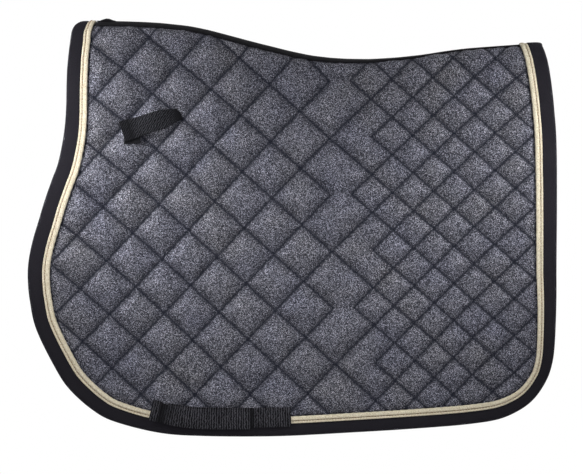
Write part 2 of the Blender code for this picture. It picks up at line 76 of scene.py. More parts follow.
# The pad is drawn flat and then bent over the rail. A place on it is x along the pad, the level
# off the lining's inner face, and z up the flap and on round the arch.
pad = {
    "channelRadius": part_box("right_flap_lining")[0].y,
    "coverUnder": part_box("right_flap_cover")[0].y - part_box("right_flap_lining")[0].y,
    "coverCloth": 0.8 * mm,
    "archDrop": 12.9 * mm,       # from the spine's rise down to the arch's axis
    "foldHeight": foldJoint["pos_m"][2],
    "bendAbove": 25 * mm,        # the cloth bends from here over the fold line
    "bendBelow": 28 * mm,        # to here under it
    "spineRise": [    # the spine's top line, x and rise in mm
        (-440, 48.5), (-380, 48.5), (-330, 48.5), (-276, 47), (-238, 44), (-200, 38), (-123, 18),
        (-60, 4), (0, 0), (60, 3.5), (125, 12.5), (180, 17), (226, 20), (270, 20.5),
    ],
    "edge": [    # one side's edge from the arch in front to the arch behind, x and z in mm
        (-370.9, 20), (-372.1, 4), (-374, -24), (-377, -76), (-384.8, -120.5), (-393.7, -145.9),
        (-402.6, -171.3), (-410.2, -196.7), (-417.8, -222.1), (-423, -247.5), (-424.2, -270),
        (-421.4, -299), (-412.8, -336), (-387.4, -387), (-369.6, -412.6), (-342, -437),
        (-313.7, -451.9), (-256.5, -465.9), (-199.4, -469.7), (-104, -469.7), (-9, -464.6),
        (86, -458.3), (143.5, -453.2), (175, -447.5), (200.7, -435.4), (218.4, -420.8),
        (232.4, -400), (239.5, -380), (243, -355), (246, -300), (246.4, -235), (245.7, -108),
        (242.6, -57), (239.4, -26.5),
    ],
    # The edge over the arch: x where it begins, how far it stands back on top, and how late
    "frontArch": (-369.3 * mm, 13.0 * mm, 1.5),
    "rearArch": (234.4 * mm, -6.6 * mm, 0.9),
    "trimWidth": 17.8 * mm,      # from the edge to the cords
    # Along the edge from the spine in front to the spine behind, in mm: how much further in the
    # trims lie there, how far the edge bulges out, and the cords' width against their usual one
    "trims": [
        (0, -8.8, 0, 1), (7.5, -5.5, 0.8, 1), (15, -3.3, 1.3, 1), (23, -2, 0.8, 1),
        (31, -1.6, -0.2, 1), (38, -1.2, 0, 1), (62, -2, 0.9, 1.02), (75, -1.6, 1.1, 1.03),
        (118, -0.4, -0.2, 1.04), (158, 1.3, -0.5, 1.05), (251, 1.1, -0.5, 1.08),
        (339, 1.2, -0.5, 1.07), (426, 0.7, 0, 1.07), (517, 0.5, 0.1, 1.04),
        (560, -0.6, 0.3, 1), (605, -2, 0.5, 1), (700, -2.8, 0.9, 1), (825, -3.2, 0.9, 1),
        (921, -3.4, 1.4, 1), (1005, -3.6, 1.4, 1), (1051, -3.4, 1, 0.98), (1094, -5, 1.4, 0.92),
        (1140, -5.4, 1, 0.86), (1184, -4.1, 1.1, 0.87), (1232, -2.3, 0.3, 0.9),
        (1275, -0.6, -0.2, 0.96), (1359, -0.8, 0.6, 1), (1420, -0.4, 0.9, 1.02),
        (1495, -0.5, 0.9, 1.04), (1535, -0.2, 0.9, 1.05), (1555, 1.1, -0.2, 1.08),
        (1567, 1.1, -0.9, 1.08), (1580, 0.3, 0.9, 0.98), (1593, 0.2, 0, 0.95),
    ],
}
stitchLevel = pad["coverUnder"] + pad["coverCloth"]
onCover = stitchLevel + 0.3 * mm    # where a trim or tape rests
archRadius = pad["channelRadius"] + stitchLevel
spineAt = archRadius * math.pi / 2    # from the arch's axis up to the spine, along the cloth


def smoothLine(points, steps):
    # Catmull-Rom through the points
    points = np.asarray(points, float)
    ends = np.vstack((2 * points[0] - points[1], points, 2 * points[-1] - points[-2]))
    t = (np.arange(steps) / steps)[:, None]
    line = []
    for before, start, end, after in zip(ends, ends[1:], ends[2:], ends[3:]):
        bow = (end - before) * t + (2 * before - 5 * start + 4 * end - after) * t**2
        line.append(start + (bow + (3 * start - before - 3 * end + after) * t**3) / 2)
    return np.vstack((*line, points[-1]))


def lengthsAlong(line):
    return np.concatenate(([0], np.cumsum(np.linalg.norm(np.diff(line, axis=0), axis=1))))


def evenLine(line, step):
    # the same line with a point at every step along it
    along = lengthsAlong(line)
    count = max(2, round(along[-1] / step))
    wanted = np.linspace(0, along[-1], count + 1)
    return np.column_stack([np.interp(wanted, along, line[:, i]) for i in range(line.shape[1])])


riseLine = smoothLine(np.array(pad["spineRise"]) * mm, 12)


def archCentre(x):
    return np.interp(x, riseLine[:, 0], riseLine[:, 1]) - pad["archDrop"]


def bend(places, side):
    # from the flat pad to its place over the rail
    x, level, z = np.asarray(places, float).T
    centre = archCentre(x)
    radius = pad["channelRadius"] + level
    angle = np.maximum(z - centre, 0) / archRadius
    up = np.minimum(z, centre) + radius * np.sin(angle)
    return np.column_stack((x, side * radius * np.cos(angle), up))


def flatPlace(x, z):
    # the flat pad's place that shows at height z from the side
    centre = archCentre(x)
    share = (z - centre) / archRadius
    over = archRadius * (np.arcsin(np.clip(share, 0, 1)) + np.maximum(share - 1, 0))
    return np.column_stack((x, np.where(share > 0, centre + over, z)))


def archEdge(edgeX, setback, lateness):
    angle = np.linspace(0, math.pi / 2, 16)
    x = edgeX + setback * (angle / angle[-1]) ** lateness
    return np.column_stack((x, archCentre(x) + archRadius * angle))


def padEdge(step=3 * mm):
    # one side's edge, from the spine at the front to the spine at the rear
    front, rear = archEdge(*pad["frontArch"]), archEdge(*pad["rearArch"])
    below = smoothLine(np.vstack((front[0], np.array(pad["edge"]) * mm, rear[0])), 8)
    return evenLine(np.vstack((front[:0:-1], below, rear[1:])), step)


def inwards(line):
    # unit directions square to a line, to its left
    along = np.gradient(line, axis=0)
    for _ in range(3):
        along[1:-1] = (along[:-2] + 2 * along[1:-1] + along[2:]) / 4
    along /= np.linalg.norm(along, axis=1)[:, None]
    return np.column_stack((-along[:, 1], along[:, 0]))


def smoothStep(value, low, high):
    share = np.clip((value - low) / (high - low), 0, 1)
    return share**2 * (3 - 2 * share)


def edgeAcross(edge):
    # square to the edge on the flap, and along the pad on the arch
    above = smoothStep(edge[:, 1] - archCentre(edge[:, 0]), -24 * mm, 2 * mm)[:, None]
    halfWay = -70 * mm
    along = np.column_stack((np.where(edge[:, 0] < halfWay, 1, -1), 0 * edge[:, 0]))
    across = inwards(edge) * (1 - above) + along * above
    return across / np.linalg.norm(across, axis=1)[:, None]


trimTable = np.array(pad["trims"]) * (mm, mm, mm, 1)


def trimInset(s, inset):
    # how far in a part of the trims lies, at lengths s along the edge
    shift, bulge, stretch = (np.interp(s, trimTable[:, 0], part) for part in trimTable[:, 1:].T)
    share = np.clip(inset / pad["trimWidth"], 0, 1)
    beyond = np.maximum(inset - pad["trimWidth"], 0)
    return inset + shift * share - bulge * (1 - share) + (stretch - 1) * beyond


def insetEdge(distance, step=3 * mm, trimmed=True):
    edge = padEdge(step)
    far = trimInset(lengthsAlong(edge), distance) if trimmed else np.full(len(edge), distance)
    return edge + edgeAcross(edge) * far[:, None]


# Helpers for meshes and objects


def atLevel(line, level):
    # a flat line's places, at one level
    return np.column_stack((line[:, 0], np.full(len(line), level), line[:, 1]))


def waves(a, b, sizeA, sizeB, layer):
    # smooth noise from -1 to 1 over two lengths
    return np.array([noise.noise((p / sizeA, q / sizeB, layer)) for p, q in zip(a, b)])


def treeOf(places):
    tree = KDTree(len(places))
    for index, (x, z) in enumerate(places):
        tree.insert((x, z, 0), index)
    tree.balance()
    return tree


def newPiece(name, bm, material, smooth=True):
    bmesh.ops.recalc_face_normals(bm, faces=bm.faces[:])
    mesh = bpy.data.meshes.new(name)
    bm.to_mesh(mesh)
    bm.free()
    mesh.materials.append(material)
    mesh.polygons.foreach_set("use_smooth", [smooth] * len(mesh.polygons))
    piece = bpy.data.objects.new(name, mesh)
    bpy.context.scene.collection.objects.link(piece)
    return piece


def gridPiece(name, material, along, around, place, size):
    # A closed grid whose points go to place(u, v), u along it and v round it, with a UV map in
    # metres
    bm = bmesh.new()
    uvLayer = bm.loops.layers.uv.new("UVMap")
    bmesh.ops.create_grid(bm, x_segments=along, y_segments=around, size=1, calc_uvs=True)
    flat = np.array([vert.co[:2] for vert in bm.verts])
    u, v = ((flat - flat.min(0)) / np.ptp(flat, axis=0)).T
    for vert, co in zip(bm.verts, place(u, v)):
        vert.co = co
    for face in bm.faces:
        for loop in face.loops:
            loop[uvLayer].uv = loop[uvLayer].uv * Vector(size)
    bmesh.ops.remove_doubles(bm, verts=bm.verts[:], dist=1e-6)
    bmesh.ops.holes_fill(bm, edges=[edge for edge in bm.edges if edge.is_boundary], sides=0)
    return newPiece(name, bm, material)


def roundSection(points, steps):
    # a closed smooth section through the points
    return smoothLine(np.vstack((points[-1], points, points[:2])), steps)[steps:-steps]


def sweptPiece(name, material, line, across, section, side, lift=None, trimmed=True):
    # A closed section of (inwards, level) carried along a line on the flat pad. lift(s, inset,
    # level) moves it at s along the line, and trimmed lets it stray as the edge's trims do.
    along = lengthsAlong(line)
    rounds = len(section) - 1

    def place(u, v):
        s = u * along[-1]
        x, z, turnX, turnZ = (np.interp(s, along, part) for part in (*line.T, *across.T))
        inset, level = (np.interp(v * rounds, np.arange(rounds + 1), part) for part in section.T)
        if lift:
            inset, level = lift(s, inset, level)
        if trimmed:
            inset = trimInset(s, inset)
        return bend(np.column_stack((x + turnX * inset, level, z + turnZ * inset)), side)

    size = (along[-1], lengthsAlong(section)[-1])
    return gridPiece(name, material, len(line) - 1, rounds, place, size)


def acrossFold(piece, sideName, *nodes):
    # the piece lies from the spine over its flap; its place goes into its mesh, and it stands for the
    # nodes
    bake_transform(piece)
    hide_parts(*nodes)


# Materials


def addNode(tree, kind, inputs=None, **settings):
    # inputs are other nodes' outputs to link, or fixed values
    made = tree.nodes.new(kind)
    for key, value in settings.items():
        setattr(made, key, value)
    for key, value in (inputs or {}).items():
        if isinstance(value, bpy.types.NodeSocket):
            tree.links.new(value, made.inputs[key])
        else:
            made.inputs[key].default_value = value
    return made


def mathNode(tree, operation, *values):
    inputs = dict(enumerate(values))
    return addNode(tree, "ShaderNodeMath", inputs, operation=operation).outputs[0]


def mixColour(tree, share, first, second, blend="MIX"):
    first, second = ((*c, 1) if isinstance(c, tuple) else c for c in (first, second))
    inputs = {0: share, 6: first, 7: second}
    made = addNode(tree, "ShaderNodeMix", inputs, data_type="RGBA", blend_type=blend)
    return made.outputs[2]


def spreadOut(tree, value, low, high, toLow=0.0, toHigh=1.0):
    # what lies between low and high now fills the range from toLow to toHigh
    ranges = {"From Min": low, "From Max": high, "To Min": toLow, "To Max": toHigh}
    return addNode(tree, "ShaderNodeMapRange", {"Value": value, **ranges}).outputs[0]


def addFlecks(tree, uv, size):
    # small cells, each with three shares of its own
    cells = addNode(tree, "ShaderNodeTexVoronoi", {"Vector": uv, "Scale": 1 / size})
    return addNode(tree, "ShaderNodeSeparateColor", {0: cells.outputs["Color"]}).outputs


def paintSeamShade(tree, colour, dark):
    # the piece's own "seam" attribute holds the painted shade of the seams and their valleys, 1 where
    # darkest
    seam = addNode(tree, "ShaderNodeAttribute", attribute_name="seam").outputs["Fac"]
    return mixColour(tree, seam, colour, dark)


def newGroup(name, sockets, results):
    group = bpy.data.node_groups.new(name, "ShaderNodeTree")
    for label, kind, value in sockets:
        socket = group.interface.new_socket(name=label, in_out="INPUT", socket_type=kind)
        if value is not None:
            socket.default_value = value
    for label, kind in results:
        group.interface.new_socket(name=label, in_out="OUTPUT", socket_type=kind)
    return group, group.nodes.new("NodeGroupInput"), group.nodes.new("NodeGroupOutput")


def grainGroup():
    # fine fibres with slow patches, for every cloth
    group, given, out = newGroup(
        "clothGrain",
        [("Vector", "NodeSocketVector", None), ("Grain Size", "NodeSocketFloat", 1.5 * mm),
         ("Patch Size", "NodeSocketFloat", 90 * mm)],
        [("Grain", "NodeSocketFloat"), ("Patch", "NodeSocketFloat")],
    )
    for label, size, detail in (("Grain", "Grain Size", 3), ("Patch", "Patch Size", 2)):
        scale = mathNode(group, "DIVIDE", 1.0, given.outputs[size])
        made = addNode(
            group, "ShaderNodeTexNoise",
            {"Vector": given.outputs["Vector"], "Scale": scale, "Detail": detail, "Roughness": 0.6},
        )
        group.links.new(made.outputs["Fac"], out.inputs[label])
    return group


def twillGroup():
    # slanting ribs of a woven tape, from a UV map in metres
    group, given, out = newGroup(
        "twillRibs",
        [("Vector", "NodeSocketVector", None), ("Pitch", "NodeSocketFloat", 1.2 * mm),
         ("Slant", "NodeSocketFloat", 1.0), ("Wobble", "NodeSocketFloat", 0.15)],
        [("Rib", "NodeSocketFloat")],
    )
    split = addNode(group, "ShaderNodeSeparateXYZ", {0: given.outputs["Vector"]})
    slanted = mathNode(group, "MULTIPLY", split.outputs["Y"], given.outputs["Slant"])
    run = mathNode(group, "ADD", split.outputs["X"], slanted)
    turns = mathNode(group, "DIVIDE", run, given.outputs["Pitch"])
    inputs = {"Vector": given.outputs["Vector"], "Scale": 300.0}
    stray = addNode(group, "ShaderNodeTexNoise", inputs).outputs["Fac"]
    stray = mathNode(group, "MULTIPLY", stray, given.outputs["Wobble"])
    turns = mathNode(group, "ADD", turns, stray)
    wave = mathNode(group, "SINE", mathNode(group, "MULTIPLY", turns, 2 * math.pi))
    rib = mathNode(group, "MULTIPLY_ADD", wave, 0.5, 0.5)
    group.links.new(rib, out.inputs["Rib"])
    return group


clothGrain, twillRibs = grainGroup(), twillGroup()


def startMaterial(name, colour, roughness, **constants):
    made = bpy.data.materials.new(name)
    made.use_nodes = True
    tree = made.node_tree
    shader = tree.nodes["Principled BSDF"]
    shader.inputs["Base Color"].default_value = (*colour, 1)
    shader.inputs["Roughness"].default_value = roughness
    shader.inputs["Specular IOR Level"].default_value = 0.08
    for label, value in constants.items():
        shader.inputs[label.replace("_", " ")].default_value = value
    uv = addNode(tree, "ShaderNodeUVMap", uv_map="UVMap").outputs["UV"]
    return made, tree, shader, uv


def addGrain(tree, vector, grainSize, patchSize):
    inputs = {"Vector": vector, "Grain Size": grainSize, "Patch Size": patchSize}
    made = addNode(tree, "ShaderNodeGroup", inputs, node_tree=clothGrain)
    return made.outputs["Grain"], made.outputs["Patch"]


def addTwill(tree, vector, pitch, slant, wobble=0.15):
    inputs = {"Vector": vector, "Pitch": pitch, "Slant": slant, "Wobble": wobble}
    return addNode(tree, "ShaderNodeGroup", inputs, node_tree=twillRibs).outputs["Rib"]


def addBump(tree, shader, height, strength, distance):
    inputs = {"Height": height, "Strength": strength, "Distance": distance}
    bump = addNode(tree, "ShaderNodeBump", inputs)
    tree.links.new(bump.outputs["Normal"], shader.inputs["Normal"])


glitter = {
    "dark": (0.018, 0.019, 0.026),
    "light": (0.535, 0.532, 0.60),
    # the colour of the painted shade along the seams and in their valleys
    "seam": (0.008, 0.009, 0.016),
    "bluer": (0.96, 0.97, 1.06),      # slow changes of tone over the cloth
    "warmer": (1.03, 1.02, 1.0),
    "grainSize": 0.6 * mm,
    "fleckSize": 0.64 * mm,
    "patchSize": 70 * mm,
    "sparseness": 4.0,           # higher leaves fewer bright flecks
    "roughness": (0.5, 0.7),
}


def makeCoverCloth():
    made, tree, shader, uv = startMaterial("coverCloth", (0.09, 0.09, 0.11), 0.6, Metallic=0.25)
    grain, patch = addGrain(tree, uv, glitter["grainSize"], glitter["patchSize"])
    fleck = addFlecks(tree, uv, glitter["fleckSize"])
    half = mathNode(tree, "MULTIPLY", grain, 0.5)
    mixed = mathNode(tree, "MULTIPLY_ADD", fleck[0], 0.7, half)
    share = mathNode(tree, "POWER", spreadOut(tree, mixed, 0.25, 0.98), glitter["sparseness"])
    colour = mixColour(tree, share, glitter["dark"], glitter["light"])
    tone = mixColour(tree, spreadOut(tree, patch, 0.3, 0.7), glitter["bluer"], glitter["warmer"])
    # painted shade along the seams and in the valleys beside them
    colour = paintSeamShade(tree, mixColour(tree, 1.0, colour, tone, "MULTIPLY"), glitter["seam"])
    tree.links.new(colour, shader.inputs["Base Color"])
    rough = spreadOut(tree, fleck[1], 0.0, 1.0, *glitter["roughness"])
    tree.links.new(rough, shader.inputs["Roughness"])
    addBump(tree, shader, mixed, 0.2, 0.3 * mm)
    return made


def makeTape(name, colour, pitch, slant, roughness=0.8):
    made, tree, shader, uv = startMaterial(name, colour, roughness)
    grain, patch = addGrain(tree, uv, 1.0 * mm, 60 * mm)
    rib = addTwill(tree, uv, pitch, slant)
    lighter = tuple(2.1 * value + 0.004 for value in colour)
    darker = tuple(0.55 * value for value in colour)
    share = mathNode(tree, "MULTIPLY", rib, mathNode(tree, "MULTIPLY_ADD", grain, 0.9, 0.15))
    base = mixColour(tree, share, darker, lighter)
    tone = mixColour(tree, patch, (0.8, 0.8, 0.84), (1.2, 1.18, 1.16))
    tree.links.new(mixColour(tree, 1.0, base, tone, "MULTIPLY"), shader.inputs["Base Color"])
    height = mathNode(tree, "MULTIPLY_ADD", grain, 0.5, rib)
    addBump(tree, shader, height, 0.6, 0.25 * mm)
    return made


def makeWebbing(name, pitch, slant, light, sharpness, paintedShadeBands):
    # the bands of painted shade are (metres along the strap, share of dark): in creases and folds, at
    # a free end's lip and where that end throws its shadow on the strap under it
    dark = (0.003, 0.003, 0.004)
    made, tree, shader, uv = startMaterial(name, (0.018, 0.018, 0.021), 0.75)
    grain, patch = addGrain(tree, uv, 1.0 * mm, 30 * mm)
    rib = addTwill(tree, uv, pitch, slant, 1.5)
    fine = addTwill(tree, uv, 1.1 * mm, -slant - 0.8, 0.4)
    share = mathNode(tree, "MULTIPLY", mathNode(tree, "POWER", rib, sharpness), grain)
    share = mathNode(tree, "MULTIPLY", share, mathNode(tree, "MULTIPLY_ADD", fine, 0.5, 0.7))
    share = mathNode(tree, "MULTIPLY", share, mathNode(tree, "MULTIPLY_ADD", patch, 1.2, 0.6))
    colour = mixColour(tree, share, dark, light)
    ramp = addNode(tree, "ShaderNodeValToRGB")
    stops = ramp.color_ramp.elements
    reach = paintedShadeBands[-1][0]
    for place, _ in paintedShadeBands[1:-1]:
        stops.new(place / reach)
    for stop, (place, depth) in zip(stops, paintedShadeBands):
        stop.position = place / reach
        stop.color = (depth, depth, depth, 1)
    # painted shade from the bands along the strap
    along = addNode(tree, "ShaderNodeSeparateXYZ", {0: uv}).outputs["X"]
    tree.links.new(mathNode(tree, "DIVIDE", along, reach), ramp.inputs["Fac"])
    colour = mixColour(tree, ramp.outputs["Color"], colour, dark)
    tree.links.new(colour, shader.inputs["Base Color"])
    addBump(tree, shader, mathNode(tree, "ADD", rib, grain), 0.4, 0.25 * mm)
    return made


cordYarn = {
    "cream": ((0.77, 0.715, 0.585), (0.695, 0.635, 0.485)),
    "gold": ((0.36, 0.285, 0.17), (0.60, 0.525, 0.375)),
    "strandPitch": 2.1 * mm,
    "fleckSize": 0.9 * mm,
}


def makeCord():
    made, tree, shader, uv = startMaterial("trimCord", (0.67, 0.62, 0.49), 0.5)
    grain, patch = addGrain(tree, uv, 1.1 * mm, 25 * mm)
    strand = addTwill(tree, uv, cordYarn["strandPitch"], 1.1, 0.5)
    fleck = addFlecks(tree, uv, cordYarn["fleckSize"])
    cream = mixColour(tree, patch, *cordYarn["cream"])
    gold = mixColour(tree, fleck[1], *cordYarn["gold"])
    mixed = mathNode(tree, "MULTIPLY_ADD", strand, 0.35, mathNode(tree, "MULTIPLY", grain, 0.6))
    mixed = mathNode(tree, "MULTIPLY_ADD", fleck[0], 0.45, mixed)
    spread = spreadOut(tree, mixed, 0.4, 0.8)
    tree.links.new(mixColour(tree, spread, gold, cream), shader.inputs["Base Color"])
    shine = mathNode(tree, "MULTIPLY", mathNode(tree, "SUBTRACT", 1.0, spread), 0.5)
    tree.links.new(shine, shader.inputs["Metallic"])
    addBump(tree, shader, mixed, 0.6, 0.35 * mm)
    return made


def makeLining():
    made, tree, shader, uv = startMaterial("liningCloth", (0.03, 0.03, 0.034), 0.9)
    grain, _ = addGrain(tree, uv, 1.2 * mm, 80 * mm)
    rib = addTwill(tree, uv, 1.6 * mm, 0.0, 0.6)
    share = mathNode(tree, "MULTIPLY", rib, grain)
    colour = mixColour(tree, share, (0.014, 0.014, 0.017), (0.075, 0.075, 0.085))
    # painted shade along the lining's seams and in its valleys
    colour = paintSeamShade(tree, colour, (0.006, 0.006, 0.009))
    tree.links.new(colour, shader.inputs["Base Color"])
    addBump(tree, shader, mathNode(tree, "ADD", rib, grain), 0.5, 0.3 * mm)
    return made


def makeWadding():
    made, tree, shader, uv = startMaterial("waddingFibre", (0.8, 0.8, 0.78), 1.0)
    grain, _ = addGrain(tree, uv, 2.0 * mm, 40 * mm)
    colour = mixColour(tree, grain, (0.6, 0.6, 0.58), (0.9, 0.9, 0.88))
    tree.links.new(colour, shader.inputs["Base Color"])
    addBump(tree, shader, grain, 0.8, 1.0 * mm)
    return made


def makeThread(name, dark, light):
    made, tree, shader, _ = startMaterial(name, dark, 0.6)
    place = addNode(tree, "ShaderNodeTexCoord").outputs["Object"]
    grain, _ = addGrain(tree, place, 0.8 * mm, 30 * mm)
    tree.links.new(mixColour(tree, grain, dark, light), shader.inputs["Base Color"])
    addBump(tree, shader, grain, 0.4, 0.1 * mm)
    return made


finishes = {
    "cover": makeCoverCloth(),
    "lining": makeLining(),
    "wadding": makeWadding(),
    "binding": makeTape("bindingTape", (0.0155, 0.0145, 0.019), 1.1 * mm, 1.0, 0.85),
    "spineTape": makeTape("spineTape", (0.008, 0.008, 0.0095), 1.6 * mm, 1.0),
    # painted shade: the crease behind the sewn end, the free end's lip and the shadow it throws on
    # the base strap
    "girthWebbing": makeWebbing("girthWebbing", 3.1 * mm, 0.0, (0.128, 0.126, 0.148), 2.1, [
        (0, 0.0), (9 * mm, 0.1), (11 * mm, 0.9), (17 * mm, 0.8), (23 * mm, 0.35), (40 * mm, 0),
        (125 * mm, 0), (126.3 * mm, 0.95), (128.6 * mm, 0.95), (130.5 * mm, 0.1), (177 * mm, 0),
    ]),
    # painted shade at the billet strap's folded sewn end and near its free end
    "billetWebbing": makeWebbing("billetWebbing", 3.7 * mm, 1.1, (0.086, 0.085, 0.100), 3.6, [
        (0, 0.95), (4 * mm, 0.9), (10 * mm, 0.3), (20 * mm, 0), (60 * mm, 0), (65 * mm, 0.55),
        (67.5 * mm, 0.95), (69 * mm, 0.6), (78 * mm, 0.7),
    ]),
    "cord": makeCord(),
    "quiltThread": makeThread("quiltThread", (0.006, 0.007, 0.014), (0.03, 0.032, 0.05)),
    "trimThread": makeThread("trimThread", (0.16, 0.09, 0.055), (0.46, 0.34, 0.22)),
}
print("materials made")

# Quilting: squares on point, large in front and small behind
quilting = {
    "middle": (-39.8 * mm, -235.9 * mm),
    "lean": 0.021,
    "tilt": 0.044,
    "fanLength": 7092 * mm,
    "closingLength": 1348 * mm,
    "bigHalfWidth": 35.9 * mm,
    "bigPitch": 71.6 * mm,
    "smallHalfWidth": 26.0 * mm,
    "bridge": 25.4 * mm,         # length of the short seams between big and small cells
    "bridgeRise": 3.4 * mm,      # which are drawn in less
    "bridgeWidth": 12 * mm,
    "bigColumns": 11,
    "smallColumns": 10,
    "rows": 5,
    "edgeInset": 27.5 * mm,      # the quilting ends here, beside the cords
    "tapeOverlap": 1.5 * mm,     # and this far under the spine tape
    # The cover's and lining's colour gets painted shade along the seams and in the valleys beside
    # them
    "seamWidth": 1.3 * mm,       # how far the painted shade along a seam reaches
    "paintedSeamShade": 0.95,
    "valleyShade": 0.46,         # the painted shade of the valley round it
    "valleyWidth": 12.5 * mm,    # and how far that reaches in a big cell
    "valleyFade": 1.7,
    "strayMiddle": -195 * mm,
    "strayHalf": 185 * mm,
    # Along the pad, in mm: how far the seams lie off the even pattern to the rear, above, in the
    # middle and below, and then how far up
    "stray": [
        (-335, 0.2, 3.7, 1.7, 1.5, 0, 0.7), (-280, 0.7, 2.6, 1.2, 0, -0.8, 2),
        (-225, 0.2, 1.2, -0.4, -0.9, -1.3, 1.7), (-170, 0.8, -0.5, -1.2, -0.5, -1.9, 0.9),
        (-115, 1.2, -0.6, -0.3, -0.4, -1.5, -0.1), (-65, 2.8, 0.6, 1.6, -0.1, -1.2, -0.3),
        (-12, 3.3, 2.3, 3.6, -0.5, -1, -0.9), (45, 2.4, 2.3, 3.1, -0.3, -0.8, -1.1),
        (95, 1, 1.8, 1.9, 1.5, -0.9, -0.3), (150, 0.1, 0.7, -1.4, 1.8, -0.8, -0.2),
        (200, 0.1, 0.1, 1.9, 0.1, -0.3, -2.8),
    ],
}
strayTable = np.array(quilting["stray"]) * mm

# Tape over the spine: it lies further down the near side in front
spineTape = {
    "width": 30.0 * mm,
    "taper": 6 * mm,             # its front end thins out over this
    "reach": [    # x, and how far down the near side, in mm
        (-440, 17), (-372, 17), (-290, 15.5), (-200, 15.5), (-123, 16.5), (-40, 15), (0, 13.2),
        (40, 10.8), (80, 8.8), (120, 8), (240, 7.5),
    ],
    "thickness": 1.9 * mm,
    "thinning": 0.8,             # the share of the thickness that the front end loses
    "edgeDrop": 0.25 * mm,
    "edgeSlope": 12,             # higher is a narrower soft edge
    "wave": 0.15 * mm,
    "waveSize": (18 * mm, 0.5),    # along it, and as a share of its width
    "step": 4 * mm,
}
reachTable = np.array(spineTape["reach"]) * mm


def tapeReach(x, side):
    near = np.interp(x, reachTable[:, 0], reachTable[:, 1])
    return near if side < 0 else spineTape["width"] - near


def seamStray(x, z):
    # how far the seams lie off there, to the rear and up
    t = np.clip((z - quilting["strayMiddle"]) / quilting["strayHalf"], -1.1, 1.1)
    shares = np.array((t * (t + 1) / 2, 1 - t * t, t * (t - 1) / 2))
    there = [np.interp(x, strayTable[:, 0], column) for column in strayTable[:, 1:].T]
    return shares @ there[:3], shares @ there[3:]


def quiltPoint(across, down):
    # the flat place of a point of the even pattern
    q = quilting
    x = q["middle"][0] + across + q["lean"] * down - across * down / q["fanLength"]
    z = q["middle"][1] + q["tilt"] * across - down * (1 - (across / q["closingLength"]) ** 2)
    behind, higher = seamStray(x, z)
    return flatPlace(np.array([x + behind]), np.array([z + higher]))[0]


def quiltStitches():
    # pairs of points on the flat pad: the seams, and the short ones between big and small cells
    q = quilting
    smallPitch, firstSmall = q["bigPitch"] * 2 / 3, 2 * q["bridge"]
    stitches, bridges = [], []

    def fork(across, down, reach, rise):
        for turn in (-1, 1):
            tip = quiltPoint(across + reach, down + turn * rise)
            stitches.append((quiltPoint(across, down), tip))

    for column in range(q["bigColumns"]):
        for row in range(-q["rows"], q["rows"]):
            down = (row + column % 2 / 2) * q["bigPitch"]
            fork(-column * q["bigHalfWidth"], down, -q["bigHalfWidth"], q["bigPitch"] / 2)
    for row in range(-q["rows"], q["rows"]):
        down = row * q["bigPitch"]
        if row % 2:
            bridges.append((quiltPoint(0, down), quiltPoint(q["bridge"], down)))
            fork(q["bridge"], down, firstSmall - q["bridge"], smallPitch / 2)
        else:
            fork(0, down, firstSmall, smallPitch)
    for column in range(q["smallColumns"]):
        across = firstSmall + column * q["smallHalfWidth"]
        for row in range(-2 * q["rows"], 2 * q["rows"]):
            down = (row + column % 2 / 2) * smallPitch
            fork(across, down, q["smallHalfWidth"], smallPitch / 2)
    return stitches, bridges


def insideLoop(loop, points):
    # which points lie inside a closed line
    order = np.argsort(points[:, 1])
    sortedPoints = points[order]
    inside = np.zeros(len(points), bool)
    for (ax, az), (bx, bz) in zip(loop, np.roll(loop, -1, axis=0)):
        first, last = np.searchsorted(sortedPoints[:, 1], sorted((az, bz)))
        if first < last:
            x, z = sortedPoints[first:last].T
            inside[order[first:last]] ^= x < ax + (z - az) * (bx - ax) / (bz - az)
    return inside


def sheetLoop(inset, below, step):
    # one side's outline: its edge, and a line below the spine
    edge = insetEdge(inset, step)
    reach = below(edge[:, 0]) if callable(below) else below
    kept = edge[edge[:, 1] - archCentre(edge[:, 0]) < spineAt - reach - 0.3 * step]
    xs = np.linspace(kept[-1, 0], kept[0, 0], max(2, round(np.ptp(kept[[0, -1], 0]) / step)))
    reach = below(xs) if callable(below) else below + 0 * xs
    top = np.column_stack((xs, archCentre(xs) + spineAt - reach))
    return np.vstack((kept, top))


def seamDistance(points, seams, reach=12 * mm):
    # each point's distance to the nearest seam, or 1 where none is in reach
    order = np.argsort(points[:, 0])
    xs = points[order, 0]
    nearest = np.full(len(points), 1.0)
    for start, end in seams:
        low, high = np.minimum(start, end) - reach, np.maximum(start, end) + reach
        some = order[np.searchsorted(xs, low[0]) : np.searchsorted(xs, high[0])]
        some = some[(points[some, 1] > low[1]) & (points[some, 1] < high[1])]
        line, places = end - start, points[some]
        t = np.clip((places - start) @ line / (line @ line), 0, 1)
        away = np.linalg.norm(places - start - t[:, None] * line, axis=1)
        nearest[some] = np.minimum(nearest[some], away)
    return nearest


def seamRuns(area, seams, step):
    # the part of every seam that lies inside the area, with a point at every step
    lines = [evenLine(np.array(seam), step) for seam in seams]
    inside = insideLoop(area, np.vstack(lines))
    runs, first = [], 0
    for line in lines:
        kept = np.flatnonzero(inside[first : first + len(line)])
        first += len(line)
        if len(kept) > 1:
            runs.append(line[kept[0] : kept[-1] + 1])
    return runs


